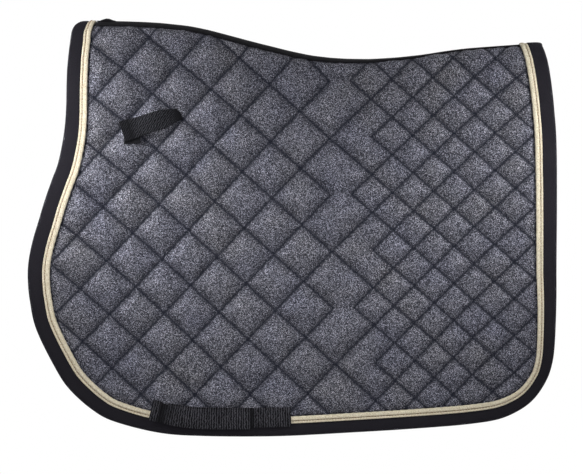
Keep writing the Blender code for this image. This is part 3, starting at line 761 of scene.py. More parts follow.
def flatSheet(outline, quiltArea, stitches, step):
    # Triangles of about one size over the outline, with edges along the seams
    fixed, links = [], []

    def addLine(line, loop=False):
        first = len(fixed)
        fixed.extend(line)
        links.extend((first + i, first + i + 1) for i in range(len(line) - 1))
        if loop:
            links.append((len(fixed) - 1, first))

    addLine(outline, True)
    if quiltArea is not None:
        addLine(quiltArea, True)
        for line in seamRuns(quiltArea, stitches, step):
            addLine(line)
    tree = treeOf(fixed)
    low, high = outline.min(0), outline.max(0)
    rows = np.arange(low[1], high[1], step * math.sqrt(3) / 2)
    free = np.array([
        (x + step / 2 * (row % 2), z)
        for row, z in enumerate(rows)
        for x in np.arange(low[0], high[0], step)
    ])
    free = free[insideLoop(outline, free)]
    free = [p for p in free if tree.find((*p, 0))[2] > 0.62 * step]    # none close to a seam
    points = [Vector(p) for p in (*fixed, *free)]
    loop = list(range(len(outline)))
    places, _, faces, _, _, _ = delaunay_2d_cdt(points, links, [loop], 1, 1e-6)
    return np.array([tuple(p) for p in places]), np.array(faces)


def sheetEdges(faces):
    pairs = np.concatenate((faces[:, :2], faces[:, 1:], faces[:, ::2]))
    return np.unique(np.sort(pairs, axis=1), axis=0).T


def blownHeights(a, b, fixed):
    # Heights of a skin blown up between fixed points, by conjugate gradients over its edges a, b
    count = len(fixed)
    weight = np.bincount(a, minlength=count) + np.bincount(b, minlength=count)
    free = (~fixed).astype(float)

    def pull(h):
        spread = np.bincount(a, h[b], count) + np.bincount(b, h[a], count)
        return free * (weight * h - spread)

    height = np.zeros(count)
    rest = free.copy()
    step = rest.copy()
    size = rest @ rest
    for _ in range(400):
        pulled = pull(step)
        share = size / (step @ pulled)
        height += share * step
        rest -= share * pulled
        newSize = rest @ rest
        if newSize < 1e-8 * count:
            break
        step = rest + newSize / size * step
        size = newSize
    return height


def paintedSeamShade(away, size, inArea):
    # painted shade: dark along the seams and softer in the valleys beside them
    line = quilting["paintedSeamShade"] * np.clip(1 - away / quilting["seamWidth"], 0, 1) ** 2
    near = np.clip(1 - away / (quilting["valleyWidth"] * np.maximum(size, 0.3)), 0, 1)
    return np.maximum(line, quilting["valleyShade"] * near ** quilting["valleyFade"]) * inArea


def puffShape(faces, fixed, puff):
    # Every cell's own rise, so that small cells are as round as big ones, and its width against
    # a big one's
    a, b = sheetEdges(faces)
    height = blownHeights(a, b, fixed)
    cell = np.arange(len(fixed))    # becomes the lowest point of each point's cell
    loose = ~fixed[a] & ~fixed[b]
    a, b = a[loose], b[loose]
    while True:
        before = cell.copy()
        lowest = np.minimum(cell[a], cell[b])
        np.minimum.at(cell, a, lowest)
        np.minimum.at(cell, b, lowest)
        cell = cell[cell]
        if np.array_equal(before, cell):
            break
    top = np.zeros(len(fixed))
    np.maximum.at(top, cell, height)
    top = top[cell]
    full = np.percentile(top[~fixed], 90)
    rise = puff["height"] * np.minimum(top / full, 1.15) ** puff["sizePower"]
    share = height / np.maximum(top, 1e-9)
    spread = np.array([noise.noise((index * 0.37, 5.1, 2.3)) for index in cell])
    return rise * (1 + puff["uneven"] * spread) * share ** puff["profile"], np.sqrt(top / full)


def skinMesh(places, faces, level, seam=()):
    # the flat sheet at its levels, with its faces outwards, and the painted shade of its seams in its
    # "seam" attribute
    bm = bmesh.new()
    paintedShadeLayer = bm.verts.layers.float.new("seam")
    verts = [bm.verts.new((x, up, z)) for (x, z), up in zip(places, level)]
    for vert, dark in zip(verts, seam):
        vert[paintedShadeLayer] = dark
    for face in faces:
        bm.faces.new([verts[i] for i in face])
    bmesh.ops.recalc_face_normals(bm, faces=bm.faces[:])
    bm.faces.ensure_lookup_table()
    if bm.faces[0].normal.y < 0:
        bmesh.ops.reverse_faces(bm, faces=bm.faces[:])
    return bm


def settledCloth(places, faces, rise, fixed, cloth):
    # How far each point moves when the skin is held along its seams and blown up a little more
    # by Cloth, with cloth to spare, so that it buckles beside the seams as real quilting does
    skin = skinMesh(places, faces, rise)
    piece = newPiece("clothInTheMaking", skin, finishes["cover"])
    pinned = piece.vertex_groups.new(name="pinned")
    pinned.add([int(i) for i in np.flatnonzero(fixed)], 1.0, "REPLACE")
    modifier = piece.modifiers.new("Cloth", "CLOTH")
    settings = modifier.settings
    settings.quality = cloth["quality"]
    settings.mass = cloth["mass"]
    settings.tension_stiffness = settings.compression_stiffness = cloth["stiffness"]
    settings.shear_stiffness = cloth["shear"]
    settings.bending_stiffness = cloth["bending"]
    settings.use_pressure = True
    settings.uniform_pressure_force = cloth["pressure"]
    settings.shrink_min = -cloth["spare"]
    settings.vertex_group_mass = "pinned"
    settings.effector_weights.gravity = 0
    modifier.collision_settings.use_collision = False
    modifier.point_cache.frame_start = 1
    modifier.point_cache.frame_end = cloth["frames"]
    scene = bpy.context.scene
    for frameNumber in range(1, cloth["frames"] + 1):
        scene.frame_set(frameNumber)
    made = piece.evaluated_get(bpy.context.evaluated_depsgraph_get())
    settled = np.empty(3 * len(places))
    made.data.vertices.foreach_get("co", settled)
    scene.frame_set(1)
    bpy.data.objects.remove(piece)
    move = settled.reshape(-1, 3) - np.column_stack((places[:, 0], rise, places[:, 1]))
    far = np.linalg.norm(move, axis=1)
    print("cloth moved", np.round(np.percentile(far, (50, 90, 99, 100)) * 1000, 2), "mm")
    return move * np.minimum(1, cloth["cap"] / np.maximum(far, 1e-9))[:, None]


def sheetObject(name, places, faces, level, thickness, side, material, seam=()):
    # the flat sheet at its levels, given its thickness and bent over the rail, with the painted shade
    # of its seams
    bm = skinMesh(places, faces, level, seam)
    bmesh.ops.delete(bm, geom=[v for v in bm.verts if not v.link_faces], context="VERTS")
    bmesh.ops.solidify(bm, geom=bm.faces[:], thickness=thickness)
    piece = newPiece(name, bm, material)
    mesh = piece.data
    flat = np.empty(3 * len(mesh.vertices))
    corners = np.empty(len(mesh.loops), int)
    mesh.vertices.foreach_get("co", flat)
    mesh.loops.foreach_get("vertex_index", corners)
    flat = flat.reshape(-1, 3)
    uvMap = mesh.uv_layers.new(name="UVMap")
    uvMap.uv.foreach_set("vector", flat[corners][:, ::2].ravel())
    mesh.vertices.foreach_set("co", bend(flat, side).ravel())
    if side < 0:
        mesh.flip_normals()
    return piece


stitches, bridges = quiltStitches()

# Covers: quilted glitter cloth, one panel each side, sewn together under the spine tape
cover = {
    "inset": 1.6 * mm,           # from the pad's edge
    "spineGap": 0.2 * mm,        # from the line of the spine
    "step": 2.7 * mm,
    "wrinkle": 0.35 * mm,
    "wrinkleSize": 11 * mm,
}
coverCloth = {
    "quality": 4, "mass": 0.1, "stiffness": 15, "shear": 5, "bending": 0.05, "pressure": 2.0,
    "spare": 0.014, "frames": 12, "cap": 2.5 * mm,
}
coverPuff = {
    "height": 7.6 * mm,
    "profile": 0.82,             # lower is a flatter top with steeper sides
    "sizePower": 0.55,           # how much lower a small cell is
    "uneven": 0.25,              # from cell to cell
}
coverFace = {}    # for each side, where the cover's face lies, for the straps to rest on
for sideName, side in sides.items():
    outline = sheetLoop(cover["inset"], cover["spineGap"], cover["step"])
    area = sheetLoop(
        quilting["edgeInset"], lambda x: tapeReach(x, side) - quilting["tapeOverlap"],
        cover["step"],
    )
    places, faces = flatSheet(outline, area, [*stitches, *bridges], cover["step"])
    away = seamDistance(places, [*stitches, *zip(area, np.roll(area, -1, axis=0))])
    toBridge = seamDistance(places, bridges)
    inArea = insideLoop(area, places)
    held = (np.minimum(away, toBridge) < 1e-5) | ~inArea
    puff, size = puffShape(faces, held, coverPuff)
    near = np.clip(1 - toBridge / quilting["bridgeWidth"], 0, 1) ** 2
    puff += quilting["bridgeRise"] * near * np.clip(away / quilting["bridgeWidth"], 0, 1) * inArea
    wrinkles = waves(*places.T, cover["wrinkleSize"], cover["wrinkleSize"], side)
    puff += cover["wrinkle"] * wrinkles * np.clip(puff / coverPuff["height"] * 3, 0, 1)
    # painted shade along the seams, the quilted area's edge and the valleys beside them
    dark = paintedSeamShade(away, size, inArea)
    level = stitchLevel + puff
    move = settledCloth(places, faces, puff, held, coverCloth)
    level = level + move[:, 1]
    places = places + move[:, ::2]
    coverFace[side] = (treeOf(places), level)
    piece = sheetObject(
        f"{sideName}_cover", places, faces, level, pad["coverCloth"], side, finishes["cover"], dark
    )
    acrossFold(piece, sideName, f"{sideName}_spine_cover", f"{sideName}_flap_cover")
    print(f"{sideName} cover: {len(piece.data.polygons)} faces")

# Lining: the same seams, with shallow puffs towards the horse. One flat sheet serves both sides.
lining = {
    "inset": 1.8 * mm,
    "spineGap": 0.2 * mm,
    "plainTop": 12 * mm,         # not quilted this near the spine
    "step": 4.5 * mm,
    "outerLevel": 0.8 * mm,
    "cloth": 0.6 * mm,
}
liningPuff = {"height": 0.95 * mm, "profile": 0.8, "sizePower": 0.4, "uneven": 0.2}
outline = sheetLoop(lining["inset"], lining["spineGap"], lining["step"])
area = sheetLoop(quilting["edgeInset"], lining["plainTop"], lining["step"])
places, faces = flatSheet(outline, area, [*stitches, *bridges], lining["step"])
away = seamDistance(places, [*stitches, *bridges, *zip(area, np.roll(area, -1, axis=0))])
inArea = insideLoop(area, places)
puff, size = puffShape(faces, (away < 1e-5) | ~inArea, liningPuff)
# painted shade along the lining's seams and in the valleys beside them
dark = paintedSeamShade(away, size, inArea)
for sideName, side in sides.items():
    piece = sheetObject(
        f"{sideName}_lining", places, faces, lining["outerLevel"] - puff, lining["cloth"], side,
        finishes["lining"], dark,
    )
    acrossFold(piece, sideName, f"{sideName}_spine_lining", f"{sideName}_flap_lining")

# Wadding between them
wadding = {"inset": 3.0 * mm, "spineGap": 0.4 * mm, "step": 12 * mm}
outline = sheetLoop(wadding["inset"], wadding["spineGap"], wadding["step"])
places, faces = flatSheet(outline, None, [], wadding["step"])
for sideName, side in sides.items():
    faceAt = [abs(corner.y) - pad["channelRadius"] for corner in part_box(f"{sideName}_flap_wadding")]
    inner, outer = sorted(faceAt)
    piece = sheetObject(
        f"{sideName}_wadding", places, faces, np.full(len(places), outer), outer - inner, side,
        finishes["wadding"],
    )
    acrossFold(piece, sideName, f"{sideName}_spine_wadding", f"{sideName}_flap_wadding")
print("cloths made")

# Binding: a tape folded over the whole edge
binding = {
    "section": [    # once round the folded tape, in from the edge and level in mm
        (17.8, 5.6), (17.8, 6.1), (16.9, 6.5), (13, 6.55), (8, 6.5), (4, 6.1), (1.2, 4.9), (0, 2.6),
        (1.2, 0.3), (4, -0.9), (8, -1.25), (13, -1.3), (17, -1.3), (17.8, -0.9), (17.6, -0.35),
        (13, -0.3), (5, -0.2), (2.2, 0.7), (1.2, 2.6), (2.2, 4.4), (5, 5.4), (13, 5.55),
    ],
    "middle": 2.6 * mm,          # the level between its two faces
    "pucker": 0.22 * mm,
    "puckerSize": (14 * mm, 20 * mm),
    "puckerFade": 20 * mm,       # the waves fade out over this at its ends
    "spineRise": (0.7 * mm, 2.5 * mm),    # the thick folded ends over the spine, front and rear
    "squareBy": 0.6,             # these stand out by this share of their rise
    "squareTo": 9 * mm,          # and this far in
    "step": 3 * mm,
}
cords = {    # turns is the number of strands
    "narrow_cord": {"inset": 19.6 * mm, "width": 3.3 * mm, "height": 2.9 * mm, "turns": 2},
    "wide_cord": {"inset": 24.35 * mm, "width": 6.0 * mm, "height": 3.9 * mm, "turns": 3},
}
cordForm = {
    "ridge": 0.06,               # of its width
    "lay": 1.5,                  # widths along it for one strand to come round
    "roundness": 0.7,            # 1 is an ellipse, less is squarer
    "clearance": 0.15 * mm,
    "spineRise": (-1.4 * mm, 0.2 * mm),
    "step": 1.2 * mm,
}
spineFade = 34 * mm              # the rise over the spine fades out over this


def overSpine(s, rises):
    # a lift that fades out from each end of an edge trim
    front, rear = (smoothStep(1 - d / spineFade, 0, 1) for d in (s, s.max() - s))
    return rises[0] * front + rises[1] * rear


def pucker(s, inset, level):
    # the tape's waves, and its thick folded ends
    ends = np.clip(np.minimum(s, s.max() - s) / binding["puckerFade"], 0, 1)
    level = level + binding["pucker"] * waves(s, inset, *binding["puckerSize"], 3.0) * ends
    rise = overSpine(s, binding["spineRise"]) * (level > binding["middle"])
    squarer = np.minimum(binding["squareBy"] * rise, np.abs(inset))
    return inset - squarer * np.clip(1 - inset / binding["squareTo"], 0, 1), level + rise


bindingEdge, cordEdge = padEdge(binding["step"]), padEdge(cordForm["step"])
for sideName, side in sides.items():
    section = roundSection(np.array(binding["section"]) * mm, 2)
    piece = sweptPiece(
        f"{sideName}_binding", finishes["binding"], bindingEdge, edgeAcross(bindingEdge), section,
        side, pucker,
    )
    acrossFold(
        piece, sideName, f"{sideName}_flap_binding", "front_spine_binding", "rear_spine_binding"
    )
    for cordName, cord in cords.items():
        halfWide, halfHigh = cord["width"] / 2, cord["height"] / 2
        turn = np.linspace(0, 2 * math.pi, 15)
        section = np.column_stack((
            cord["inset"] + halfWide * np.cos(turn), onCover + halfHigh * (1 + np.sin(turn)),
        ))

        def twist(s, inset, level):
            # the strands' ridges, on a flattened round
            up, out = (level - onCover - halfHigh) / halfHigh, (inset - cord["inset"]) / halfWide
            angle = np.arctan2(up, out)
            wound = 2 * math.pi * s / (cord["width"] * cordForm["lay"])
            swell = 1 + cordForm["ridge"] * (np.sin(cord["turns"] * angle + wound) - 1)
            out, up = (
                np.sign(part) * np.abs(part) ** cordForm["roundness"] * swell
                for part in (np.cos(angle), np.sin(angle))
            )
            lowest = onCover + cordForm["clearance"]
            level = np.maximum(onCover + halfHigh + halfHigh * up, lowest)
            return cord["inset"] + halfWide * out, level + overSpine(s, cordForm["spineRise"])

        piece = sweptPiece(
            f"{sideName}_{cordName}", finishes["cord"], cordEdge, edgeAcross(cordEdge), section,
            side, twist,
        )
        acrossFold(
            piece, sideName, f"{sideName}_flap_{cordName}", f"front_spine_{cordName}",
            f"rear_spine_{cordName}",
        )
print("edge trims made")


def stitchRow(name, material, runs, side, dash):
    # Short threads laid along lines of flat places (x, level, z)
    tails, tips = [], []
    for run in runs:
        along = lengthsAlong(run)
        pitch = dash["length"] + dash["gap"]
        count = int((along[-1] - dash["gap"]) // pitch)
        starts = (along[-1] - count * pitch + dash["gap"]) / 2 + np.arange(count) * pitch
        for marks, ends in ((starts, tails), (starts + dash["length"], tips)):
            ends.extend(np.column_stack([np.interp(marks, along, run[:, i]) for i in range(3)]))
    tails, tips = np.array(tails), np.array(tips)
    halfWay = (tails + tips) / 2
    rise = (bend(halfWay + (0, 1 * mm, 0), side) - bend(halfWay, side)) / (1 * mm)
    tails, tips = bend(tails, side), bend(tips, side)
    middle, heading = (tails + tips) / 2, tips - tails
    across = np.cross(rise, heading)
    across /= np.linalg.norm(across, axis=1)[:, None]
    bm = bmesh.new()
    bmesh.ops.create_cube(bm, size=1)
    bmesh.ops.bevel(
        bm, geom=bm.edges[:], offset=threads["bevel"], affect="EDGES", segments=1, profile=0.5,
        material=-1,
    )
    thread = bpy.data.meshes.new("thread")
    bm.to_mesh(thread)
    bm.free()
    bm = bmesh.new()
    bm.from_mesh(thread)
    one = np.array([vert.co for vert in bm.verts])
    parts = [len(elements) for elements in (bm.verts, bm.edges, bm.faces)]
    made = 1    # copies double until there is one for every stitch
    while made < len(middle):
        more = min(made, len(middle) - made)
        geom = []
        for elements, each in zip((bm.verts, bm.edges, bm.faces), parts):
            elements.ensure_lookup_table()
            geom += elements[: more * each]
        bmesh.ops.duplicate(bm, geom=geom)
        made += more
    piece = newPiece(name, bm, material)
    mesh = piece.data
    places = (
        middle[:, None]
        + heading[:, None] * one[None, :, :1]
        + across[:, None] * one[None, :, 1:2] * dash["thick"]
        + rise[:, None] * (one[None, :, 2:] + threads["lift"]) * dash["thick"]
    )
    mesh.vertices.foreach_set("co", places.ravel())
    return piece


# Thread in the seams, and in the groove between the cords
threads = {
    "quilt": {"length": 3.0 * mm, "gap": 1.0 * mm, "thick": 0.7 * mm},
    "trim": {"length": 2.4 * mm, "gap": 1.2 * mm, "thick": 1.3 * mm},
    "grooveInset": 21.3 * mm,
    "grooveRise": 1.7 * mm,      # over the cover
    "bevel": 0.18,               # of a thread's thickness
    "lift": 0.3,                 # and how far it stands up from its line
    "quiltStep": 2 * mm,
    "trimStep": 1.5 * mm,
}
for sideName, side in sides.items():
    area = sheetLoop(quilting["edgeInset"], lambda x: tapeReach(x, side), cover["step"])
    lines = seamRuns(area, stitches, threads["quiltStep"])
    runs = [atLevel(line, stitchLevel) for line in lines]
    piece = stitchRow(
        f"{sideName}_quilt_thread", finishes["quiltThread"], runs, side, threads["quilt"]
    )
    acrossFold(piece, sideName)
    groove = insetEdge(threads["grooveInset"], threads["trimStep"])
    run = atLevel(groove, onCover + threads["grooveRise"])
    piece = stitchRow(
        f"{sideName}_trim_thread", finishes["trimThread"], [run], side, threads["trim"]
    )
    acrossFold(piece, sideName)
print("threads made")

# Spine tapes
inner = insetEdge(quilting["edgeInset"])
ends = inner[[0, -1], 0]
below = archCentre(inner[:, 0]) + spineAt - inner[:, 1]
halfWay = len(inner) // 2


def besideCords(x, u, z):
    # x moved so that the strip's ends keep to the cords
    down = np.abs(archCentre(x) + spineAt - z)
    front = np.interp(down, below[:halfWay], inner[:halfWay, 0]) - ends[0]
    rear = np.interp(down, below[:halfWay:-1], inner[:halfWay:-1, 0]) - ends[1]
    return x + front * (1 - u) + rear * u


def spineStrip(name, material, start, end, low, high, reachNear, reachFar, lift=None):
    # a strip along the spine, from x start to x end and from level low to high, that reaches down
    # both sides
    half = 14    # points across each face
    section = np.array([(v, 1) for v in np.linspace(0, 1, half)])
    section = np.vstack((section, [(v, 0) for v in np.linspace(1, 0, half)], section[:1]))
    steps = max(4, round((end - start) / spineTape["step"]))

    def place(u, v):
        x = start + u * (end - start)
        at = v * (len(section) - 1)
        share, top = (np.interp(at, np.arange(len(section)), part) for part in section.T)
        near, far = reachNear(x), reachFar(x)
        z = archCentre(x) + spineAt - near + share * (near + far)
        level = low + top * (high - low)
        if lift:
            x, level = lift(u, share, x, z, level)
        return bend(np.column_stack((x, level, z)), -1)

    width = reachNear(start) + reachFar(start)
    return gridPiece(name, material, steps, len(section) - 1, place, (end - start, 2 * width))


def crowned(u, share, x, z, level):
    # soft long edges, and small waves along the tape
    wave = spineTape["wave"] * waves(x, share, *spineTape["waveSize"], 9.0)
    inside = np.clip(np.minimum(share, 1 - share) * spineTape["edgeSlope"], 0, 1)
    drop = spineTape["edgeDrop"] * (1 - inside)
    thinned = spineTape["thinning"] * (1 - smoothStep(x - ends[0], 0, spineTape["taper"]))
    top = level > onCover + spineTape["thickness"] / 2
    return besideCords(x, u, z), level - spineTape["thickness"] * thinned * top - drop + wave


tapeTop = onCover + spineTape["thickness"]
piece = spineStrip(
    "spine_tape", finishes["spineTape"], ends[0], ends[1], onCover, tapeTop,
    lambda x: tapeReach(x, -1), lambda x: tapeReach(x, 1), crowned,
)
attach(piece, "spine")
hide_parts("spine_tape")

# The tape over the seam on the lining's side
innerTape = {"halfWidth": 12 * mm, "levels": (-1.1 * mm, -0.3 * mm)}
innerReach = innerTape["halfWidth"] * archRadius / pad["channelRadius"]
piece = spineStrip(
    "inner_spine_tape", finishes["spineTape"], ends[0], ends[1], *innerTape["levels"],
    lambda x: innerReach + 0 * x, lambda x: innerReach + 0 * x,
)
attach(piece, "spine")
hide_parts("inner_spine_tape")

# The tape's folded end stands up as a small tab
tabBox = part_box("tape_end_tab")
tab = {
    "halfWidth": 7 * mm,
    "rise": 3.0 * mm,
    "gap": 0.1 * mm,             # over the tape
    "ends": (0.5 * mm, -4 * mm),    # behind the cords' line, and before the solid's end
    "cornerDrop": 0.25,          # how much lower it is at its long edges
    "profile": [    # shares of its length and its rise
        (0, 0.04), (0.18, 0.06), (0.3, 0.5), (0.4, 0.97), (0.48, 1), (0.64, 1), (0.76, 0.5),
        (1, 0.05),
    ],
}
tabLow = tapeTop + tab["gap"]


def domed(u, share, x, z, level):
    top = level > tabLow + tab["rise"] / 2
    height = np.interp(u, *np.array(tab["profile"]).T)
    height = height * (1 - tab["cornerDrop"] * (2 * share - 1) ** 4)
    return x, np.where(top, tabLow + tab["rise"] * height, level)


piece = spineStrip(
    "tape_end_tab", finishes["spineTape"], ends[0] + tab["ends"][0], tabBox[1].x + tab["ends"][1],
    tabLow, tabLow + tab["rise"], lambda x: tab["halfWidth"] + 0 * x,
    lambda x: tab["halfWidth"] + 0 * x, domed,
)
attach(piece, "spine")
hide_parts("tape_end_tab")
print("spine tapes made")

# Webbing straps
strapGap = 0.3 * mm              # between a sewn end and the strap that swings, and over the base
strapStep = 0.4 * mm
girth = {
    "front": -266.7 * mm, "base": 176.5 * mm, "end": 10.8 * mm, "over": 116.5 * mm,
    "inset": 21.5 * mm, "width": 25.0 * mm, "bulge": 5.6 * mm, "baseLevel": 9.8 * mm,
    "webbing": 1.4 * mm, "ribs": 3.1 * mm, "ribHeight": 0.45 * mm,
    "dip": 1.4 * mm, "dipLength": 9 * mm, "dipWidth": 3.4 * mm,    # behind the sewn end
    "lip": 1.1 * mm, "lipFrom": (0.965, 0.99),    # at the free end
    "sewnRise": 1.2 * mm,
    "fullness": 0.8,             # 1 is a bow, less is fuller
    "sink": (2.2 * mm, 4 * mm, 8 * mm),    # the lower edge's drop, where it starts, over how much
    "sinkCurve": 1.5, "freeSink": 0.4,    # and how much less it sinks at the free end
    # x and how far the strap lies above the edge's own line, in mm
    "lineRise": [(-266.7, 4.6), (-250, 3.6), (-232, 1.8), (-212, 0.3), (-200, 0), (-90, 0)],
    "baseRise": 2.0 * mm,        # the base strap lies this much higher than the one over it
    "bottomUnder": -300 * mm,    # the bottom edge is the part under this z
}
billet = {
    "sewnAt": (-229.3 * mm, -62.2 * mm), "slope": math.radians(17.6), "length": 77.5 * mm,
    "end": 6.0 * mm, "patch": 21 * mm, "width": 24.5 * mm, "narrow": 15 * mm,
    "bulge": 7.8 * mm, "webbing": 1.4 * mm, "ribs": 3.7 * mm, "ribHeight": 0.5 * mm,
    "slant": -1.1, "plainEnd": 11 * mm,
    "curl": (0.8 * mm, 11 * mm),    # its middle stands higher, and the half width where it doesn't
    "fullAt": 26 * mm,           # from the narrow sewn end to full width
    "flare": 2.4 * mm, "flareLength": 30 * mm,    # wider at the free end
    "clearance": 0.4 * mm,       # over the cloth
    "blend": 14 * mm,            # how softly it comes to rest on the cloth and the patch
    "patchAt": (-280.5 * mm, -89.6 * mm), "patchSlope": math.radians(4), "patchWidth": 21 * mm,
    "patchOver": 0.2 * mm,       # over the cloth's mean level
    "patchRibs": 0.1 * mm,
    "patchGap": 0.9 * mm,        # between the patch and the strap on it
}
webbingForm = {
    "rungs": 25,                 # points across each face
    "strayRibs": 0.6, "stray": 0.15 * mm, "straySize": (9 * mm, 12 * mm),
    "edge": 1.2 * mm,            # the ribs are lower this near the edge
    "edgeRibs": 0.3, "underRibs": 0.3, "plainRibs": 0.15,    # how high they still are there
    "plainFade": 2 * mm,
}


def highestCloth(line, across, width, side):
    # the cover's highest level under a strap, at stations along it
    tree, levels = coverFace[side]
    stations = np.arange(0, len(line), 6)
    tops = np.zeros(len(stations))
    for share in np.linspace(-0.5, 0.5, 7):
        for index, (x, z) in enumerate(line[stations] + across[stations] * share * width):
            near = np.mean([levels[found[1]] for found in tree.find_n((x, z, 0), 3)])
            tops[index] = max(tops[index], near)
    return lengthsAlong(line)[stations], tops


def webbingPiece(name, material, line, across, width, level, strap, side, rise=None, wide=None):
    # A flat strap with ribs across it. rise(s, inset) lifts it and wide(s) narrows it.
    thick, ribs, slant = strap["webbing"], strap["ribs"], strap.get("slant", 0)
    form = webbingForm
    ladder = np.linspace(width / 2, -width / 2, form["rungs"])
    section = np.vstack((
        np.column_stack((ladder, 0 * ladder + thick)),
        np.column_stack((ladder[::-1], 0 * ladder)),
        [(ladder[0], thick)],
    ))
    plain = strap.get("plainEnd", 0)
    length = lengthsAlong(line)[-1]

    def ribbed(s, inset, up):
        stray = waves(s, inset, *form["straySize"], 1.0)
        wave = np.abs(np.sin(math.pi * ((s + slant * inset) / ribs + form["strayRibs"] * stray)))
        edge = np.clip((width / 2 - np.abs(inset)) / form["edge"], 0, 1)
        fade = form["edgeRibs"] + (1 - form["edgeRibs"]) * edge
        height = strap["ribHeight"] * (wave - 0.5) * fade + form["stray"] * stray
        if plain:
            ribbedPart = (length - plain - s) / form["plainFade"]
            height *= np.clip(ribbedPart, form["plainRibs"], 1)
        up = np.where(up > thick / 2, up + height, up - height * form["underRibs"])
        inset = inset * (wide(s) if wide else 1) + form["stray"] * stray
        return inset, level + up + (rise(s, inset) if rise else 0)

    return sweptPiece(name, material, line, across, section, side, ribbed, False)


def girthLine(length, higher=0):
    # along the bottom edge from the sewn end
    inset = insetEdge(girth["inset"], trimmed=False)
    bottom = inset[inset[:, 1] < girth["bottomUnder"]]
    bottom = bottom[np.argsort(bottom[:, 0])]
    xs = girth["front"] + np.linspace(0, length, round(length / strapStep))
    rise = np.interp(xs, *(np.array(girth["lineRise"]) * mm).T) + higher
    line = np.column_stack((xs, np.interp(xs, *bottom.T) + rise))
    return line, inwards(line)


def settle(s, inset):
    # the lower edge sinks to the binding
    drop, start, reach = girth["sink"]
    return -drop * np.clip((-inset - start) / reach, 0, 1) ** girth["sinkCurve"]


def swell(s, inset):
    # sewn end, a dip, the long bulge, and a lip at the free end
    share = np.clip((s - girthHinge) / girth["over"], 0, 1)
    bulge = girth["bulge"] * np.sin(math.pi * share) ** girth["fullness"]
    fromDip = s - girthHinge - girth["dipLength"] / 2
    dip = girth["dip"] * np.exp(-((fromDip / girth["dipWidth"]) ** 2))
    lip = girth["lip"] * smoothStep(share, *girth["lipFrom"])
    sewn = girth["sewnRise"] * (s < girthHinge)
    return sewn + bulge - dip + lip + settle(s, inset) * (1 - share * girth["freeSink"])


girthHinge = girth["end"] + strapGap
for sideName, side in sides.items():
    line, across = girthLine(girth["base"], girth["baseRise"])
    piece = webbingPiece(
        f"{sideName}_girth_base", finishes["girthWebbing"], line, across, girth["width"],
        girth["baseLevel"], girth, side, settle,
    )
    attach(piece, f"{sideName}_flap")
    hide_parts(f"{sideName}_girth_base_strap")
    line, across = girthLine(girthHinge + girth["over"])
    piece = webbingPiece(
        f"{sideName}_girth_over_strap", finishes["girthWebbing"], line, across, girth["width"],
        girth["baseLevel"] + girth["webbing"] + strapGap, girth, side, swell,
    )
    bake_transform(piece)
    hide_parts(f"{sideName}_girth_strap_end", f"{sideName}_girth_strap")


def forwards(slope):
    return np.array((-math.cos(slope), -math.sin(slope)))


def billetLine(begin, slope, length):
    along = forwards(slope)
    steps = np.linspace(0, length, round(length / strapStep))
    line = np.array(begin) + steps[:, None] * along
    return line, np.tile((-along[1], along[0]), (len(line), 1))


def taper(s):
    # the billet strap's width against its usual one
    full = smoothStep(s, 0, billet["fullAt"])
    flare = smoothStep(s, billet["length"] - billet["flareLength"], billet["length"])
    wide = billet["narrow"] + (billet["width"] - billet["narrow"]) * full
    return (wide + billet["flare"] * flare) / billet["width"]


billetHinge = billet["end"] + strapGap
for sideName, side in sides.items():
    line, across = billetLine(billet["patchAt"], billet["patchSlope"], billet["patch"])
    _, tops = highestCloth(line, across, billet["patchWidth"], side)
    patchLevel = max(onCover, tops.mean() + billet["patchOver"])
    piece = webbingPiece(
        f"{sideName}_billet_patch", finishes["spineTape"], line, across,
        billet["patchWidth"], patchLevel, dict(girth, ribHeight=billet["patchRibs"]), side,
    )
    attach(piece, f"{sideName}_flap")
    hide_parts(f"{sideName}_billet_base_patch")
    line, across = billetLine(billet["sewnAt"], billet["slope"], billet["length"])
    marks, tops = highestCloth(line, across, billet["width"], side)
    patchFrom = billet["length"] - billet["patch"]
    onPatch = smoothStep(marks, patchFrom - billet["blend"], patchFrom)
    patchTop = patchLevel + billet["webbing"] + billet["patchGap"]
    rest = np.maximum(tops + billet["clearance"], patchTop * onPatch) - onCover
    rest = np.convolve(np.pad(rest, 2, mode="edge"), np.ones(5) / 5, mode="valid")
    rest = rest * np.clip(marks / billet["blend"], 0, 1)

    def arch(s, inset):
        # it bows out from its sewn end to the patch, and rests on what lies under it
        share = np.clip((s - billetHinge) / (billet["length"] - billetHinge), 0, 1)
        curl, flatAt = billet["curl"]
        bow = (billet["bulge"] + curl * (1 - (inset / flatAt) ** 2)) * np.sin(math.pi * share)
        climb = (billet["webbing"] + strapGap) * np.clip(s / billetHinge, 0, 1)
        return np.maximum(climb + bow, np.interp(s, marks, rest))

    piece = webbingPiece(
        f"{sideName}_billet_over_strap", finishes["billetWebbing"], line, across, billet["width"],
        onCover, billet, side, arch, taper,
    )
    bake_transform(piece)
    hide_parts(f"{sideName}_billet_strap_end", f"{sideName}_billet_strap")
print("straps made")

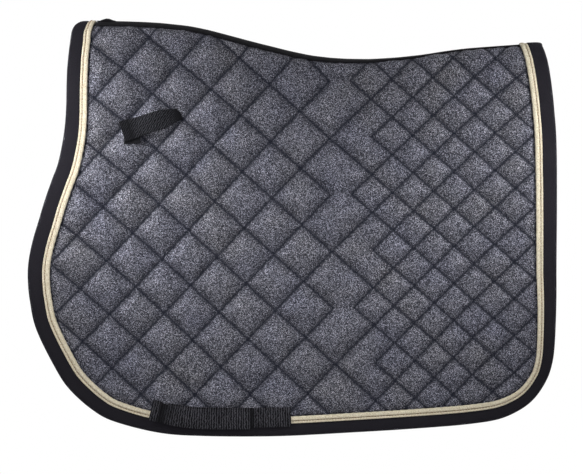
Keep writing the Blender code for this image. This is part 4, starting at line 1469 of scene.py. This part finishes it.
# Floor, backdrop, lights and camera
middle = (-0.09, 0, -0.2)
studio = {
    "eye": (-0.0895, -3.02, -0.2183),
    "frameWidth": 0.7378,
    "frameDistance": 3.0,
    "sensor": 36,
    "floorDrop": 0.35,
    "floorRadius": 2.8,
    "floorGlow": 0.9,            # how far the floor is plain white to the camera
    "worldLight": 0.08,          # what the white world gives as light
    # For each side: name, place, target, size, power and spread in degrees
    "lamps": [
        ("FrontLight", (-0.66, 0.36, 0.14), (-0.28, 0, -0.17), 0.25, 0.61, 56),
        ("RearLight", (0.52, 0.36, 0.08), (0.13, 0, -0.18), 0.25, 0.39, 54),
        ("FarLight", (-0.1, 2.1, 0.25), middle, 0.4, 4.9, 180),
        ("LowLight", (-0.1, 1.0, -0.74), middle, 0.4, 0.8, 80),
    ],
}
cameraData = bpy.data.cameras.new("camera")
cameraData.sensor_width = studio["sensor"]
cameraData.lens = studio["sensor"] * studio["frameDistance"] / studio["frameWidth"]
camera = bpy.data.objects.new("camera", cameraData)
bpy.context.scene.collection.objects.link(camera)
camera.location = studio["eye"]
camera.rotation_euler = (math.radians(90), 0, 0)
bpy.context.scene.camera = camera


def areaLight(name, place, target, size, power, spread):
    data = bpy.data.lights.new(name, "AREA")
    data.shape = "DISK"
    data.size = size
    data.energy = power
    data.spread = math.radians(spread)
    lamp = bpy.data.objects.new(name, data)
    bpy.context.scene.collection.objects.link(lamp)
    lamp.location = place
    lamp.visible_camera = False
    lamp.rotation_euler = (Vector(target) - Vector(place)).to_track_quat("-Z", "Y").to_euler()


for sideName, side in sides.items():    # both faces are lit alike
    for name, (x, y, z), *rest in studio["lamps"]:
        areaLight(f"{sideName}{name}", (x, side * y, z), *rest)
areaLight("topLight", (0.0, 0.0, 1.6), middle, 1.2, 3, 180)


def whiteToThese(tree):
    # 1 for the camera's rays and for those that metal and glass send on
    rays = addNode(tree, "ShaderNodeLightPath").outputs
    seen = mathNode(tree, "MAXIMUM", rays["Is Camera Ray"], rays["Is Glossy Ray"])
    return mathNode(tree, "MAXIMUM", seen, rays["Is Transmission Ray"])


floorZ = cadBox[0].z - studio["floorDrop"]
bm = bmesh.new()
bmesh.ops.create_circle(bm, cap_ends=True, segments=96, radius=studio["floorRadius"])
bmesh.ops.translate(bm, verts=bm.verts[:], vec=(0, 0, floorZ))
floorMaterial, tree, shader, _ = startMaterial("floorPaper", (0.86, 0.86, 0.86), 0.9)
glow = addNode(tree, "ShaderNodeEmission", {"Color": (1, 1, 1, 1), "Strength": 1.0})
share = mathNode(tree, "MULTIPLY", whiteToThese(tree), studio["floorGlow"])
paper = addNode(
    tree, "ShaderNodeMixShader", {0: share, 1: shader.outputs[0], 2: glow.outputs[0]}
)
tree.links.new(paper.outputs[0], tree.nodes["Material Output"].inputs["Surface"])
floor = newPiece("floor", bm, floorMaterial, False)

world = bpy.data.worlds.new("studioWorld")
bpy.context.scene.world = world
world.use_nodes = True
tree = world.node_tree
white = tree.nodes["Background"]
white.inputs["Color"].default_value = (1, 1, 1, 1)
dim = studio["worldLight"]
strength = mathNode(tree, "MULTIPLY_ADD", whiteToThese(tree), 1 - dim, dim)
tree.links.new(strength, white.inputs["Strength"])
bpy.context.scene.view_settings.view_transform = "Standard"
print("studio made")
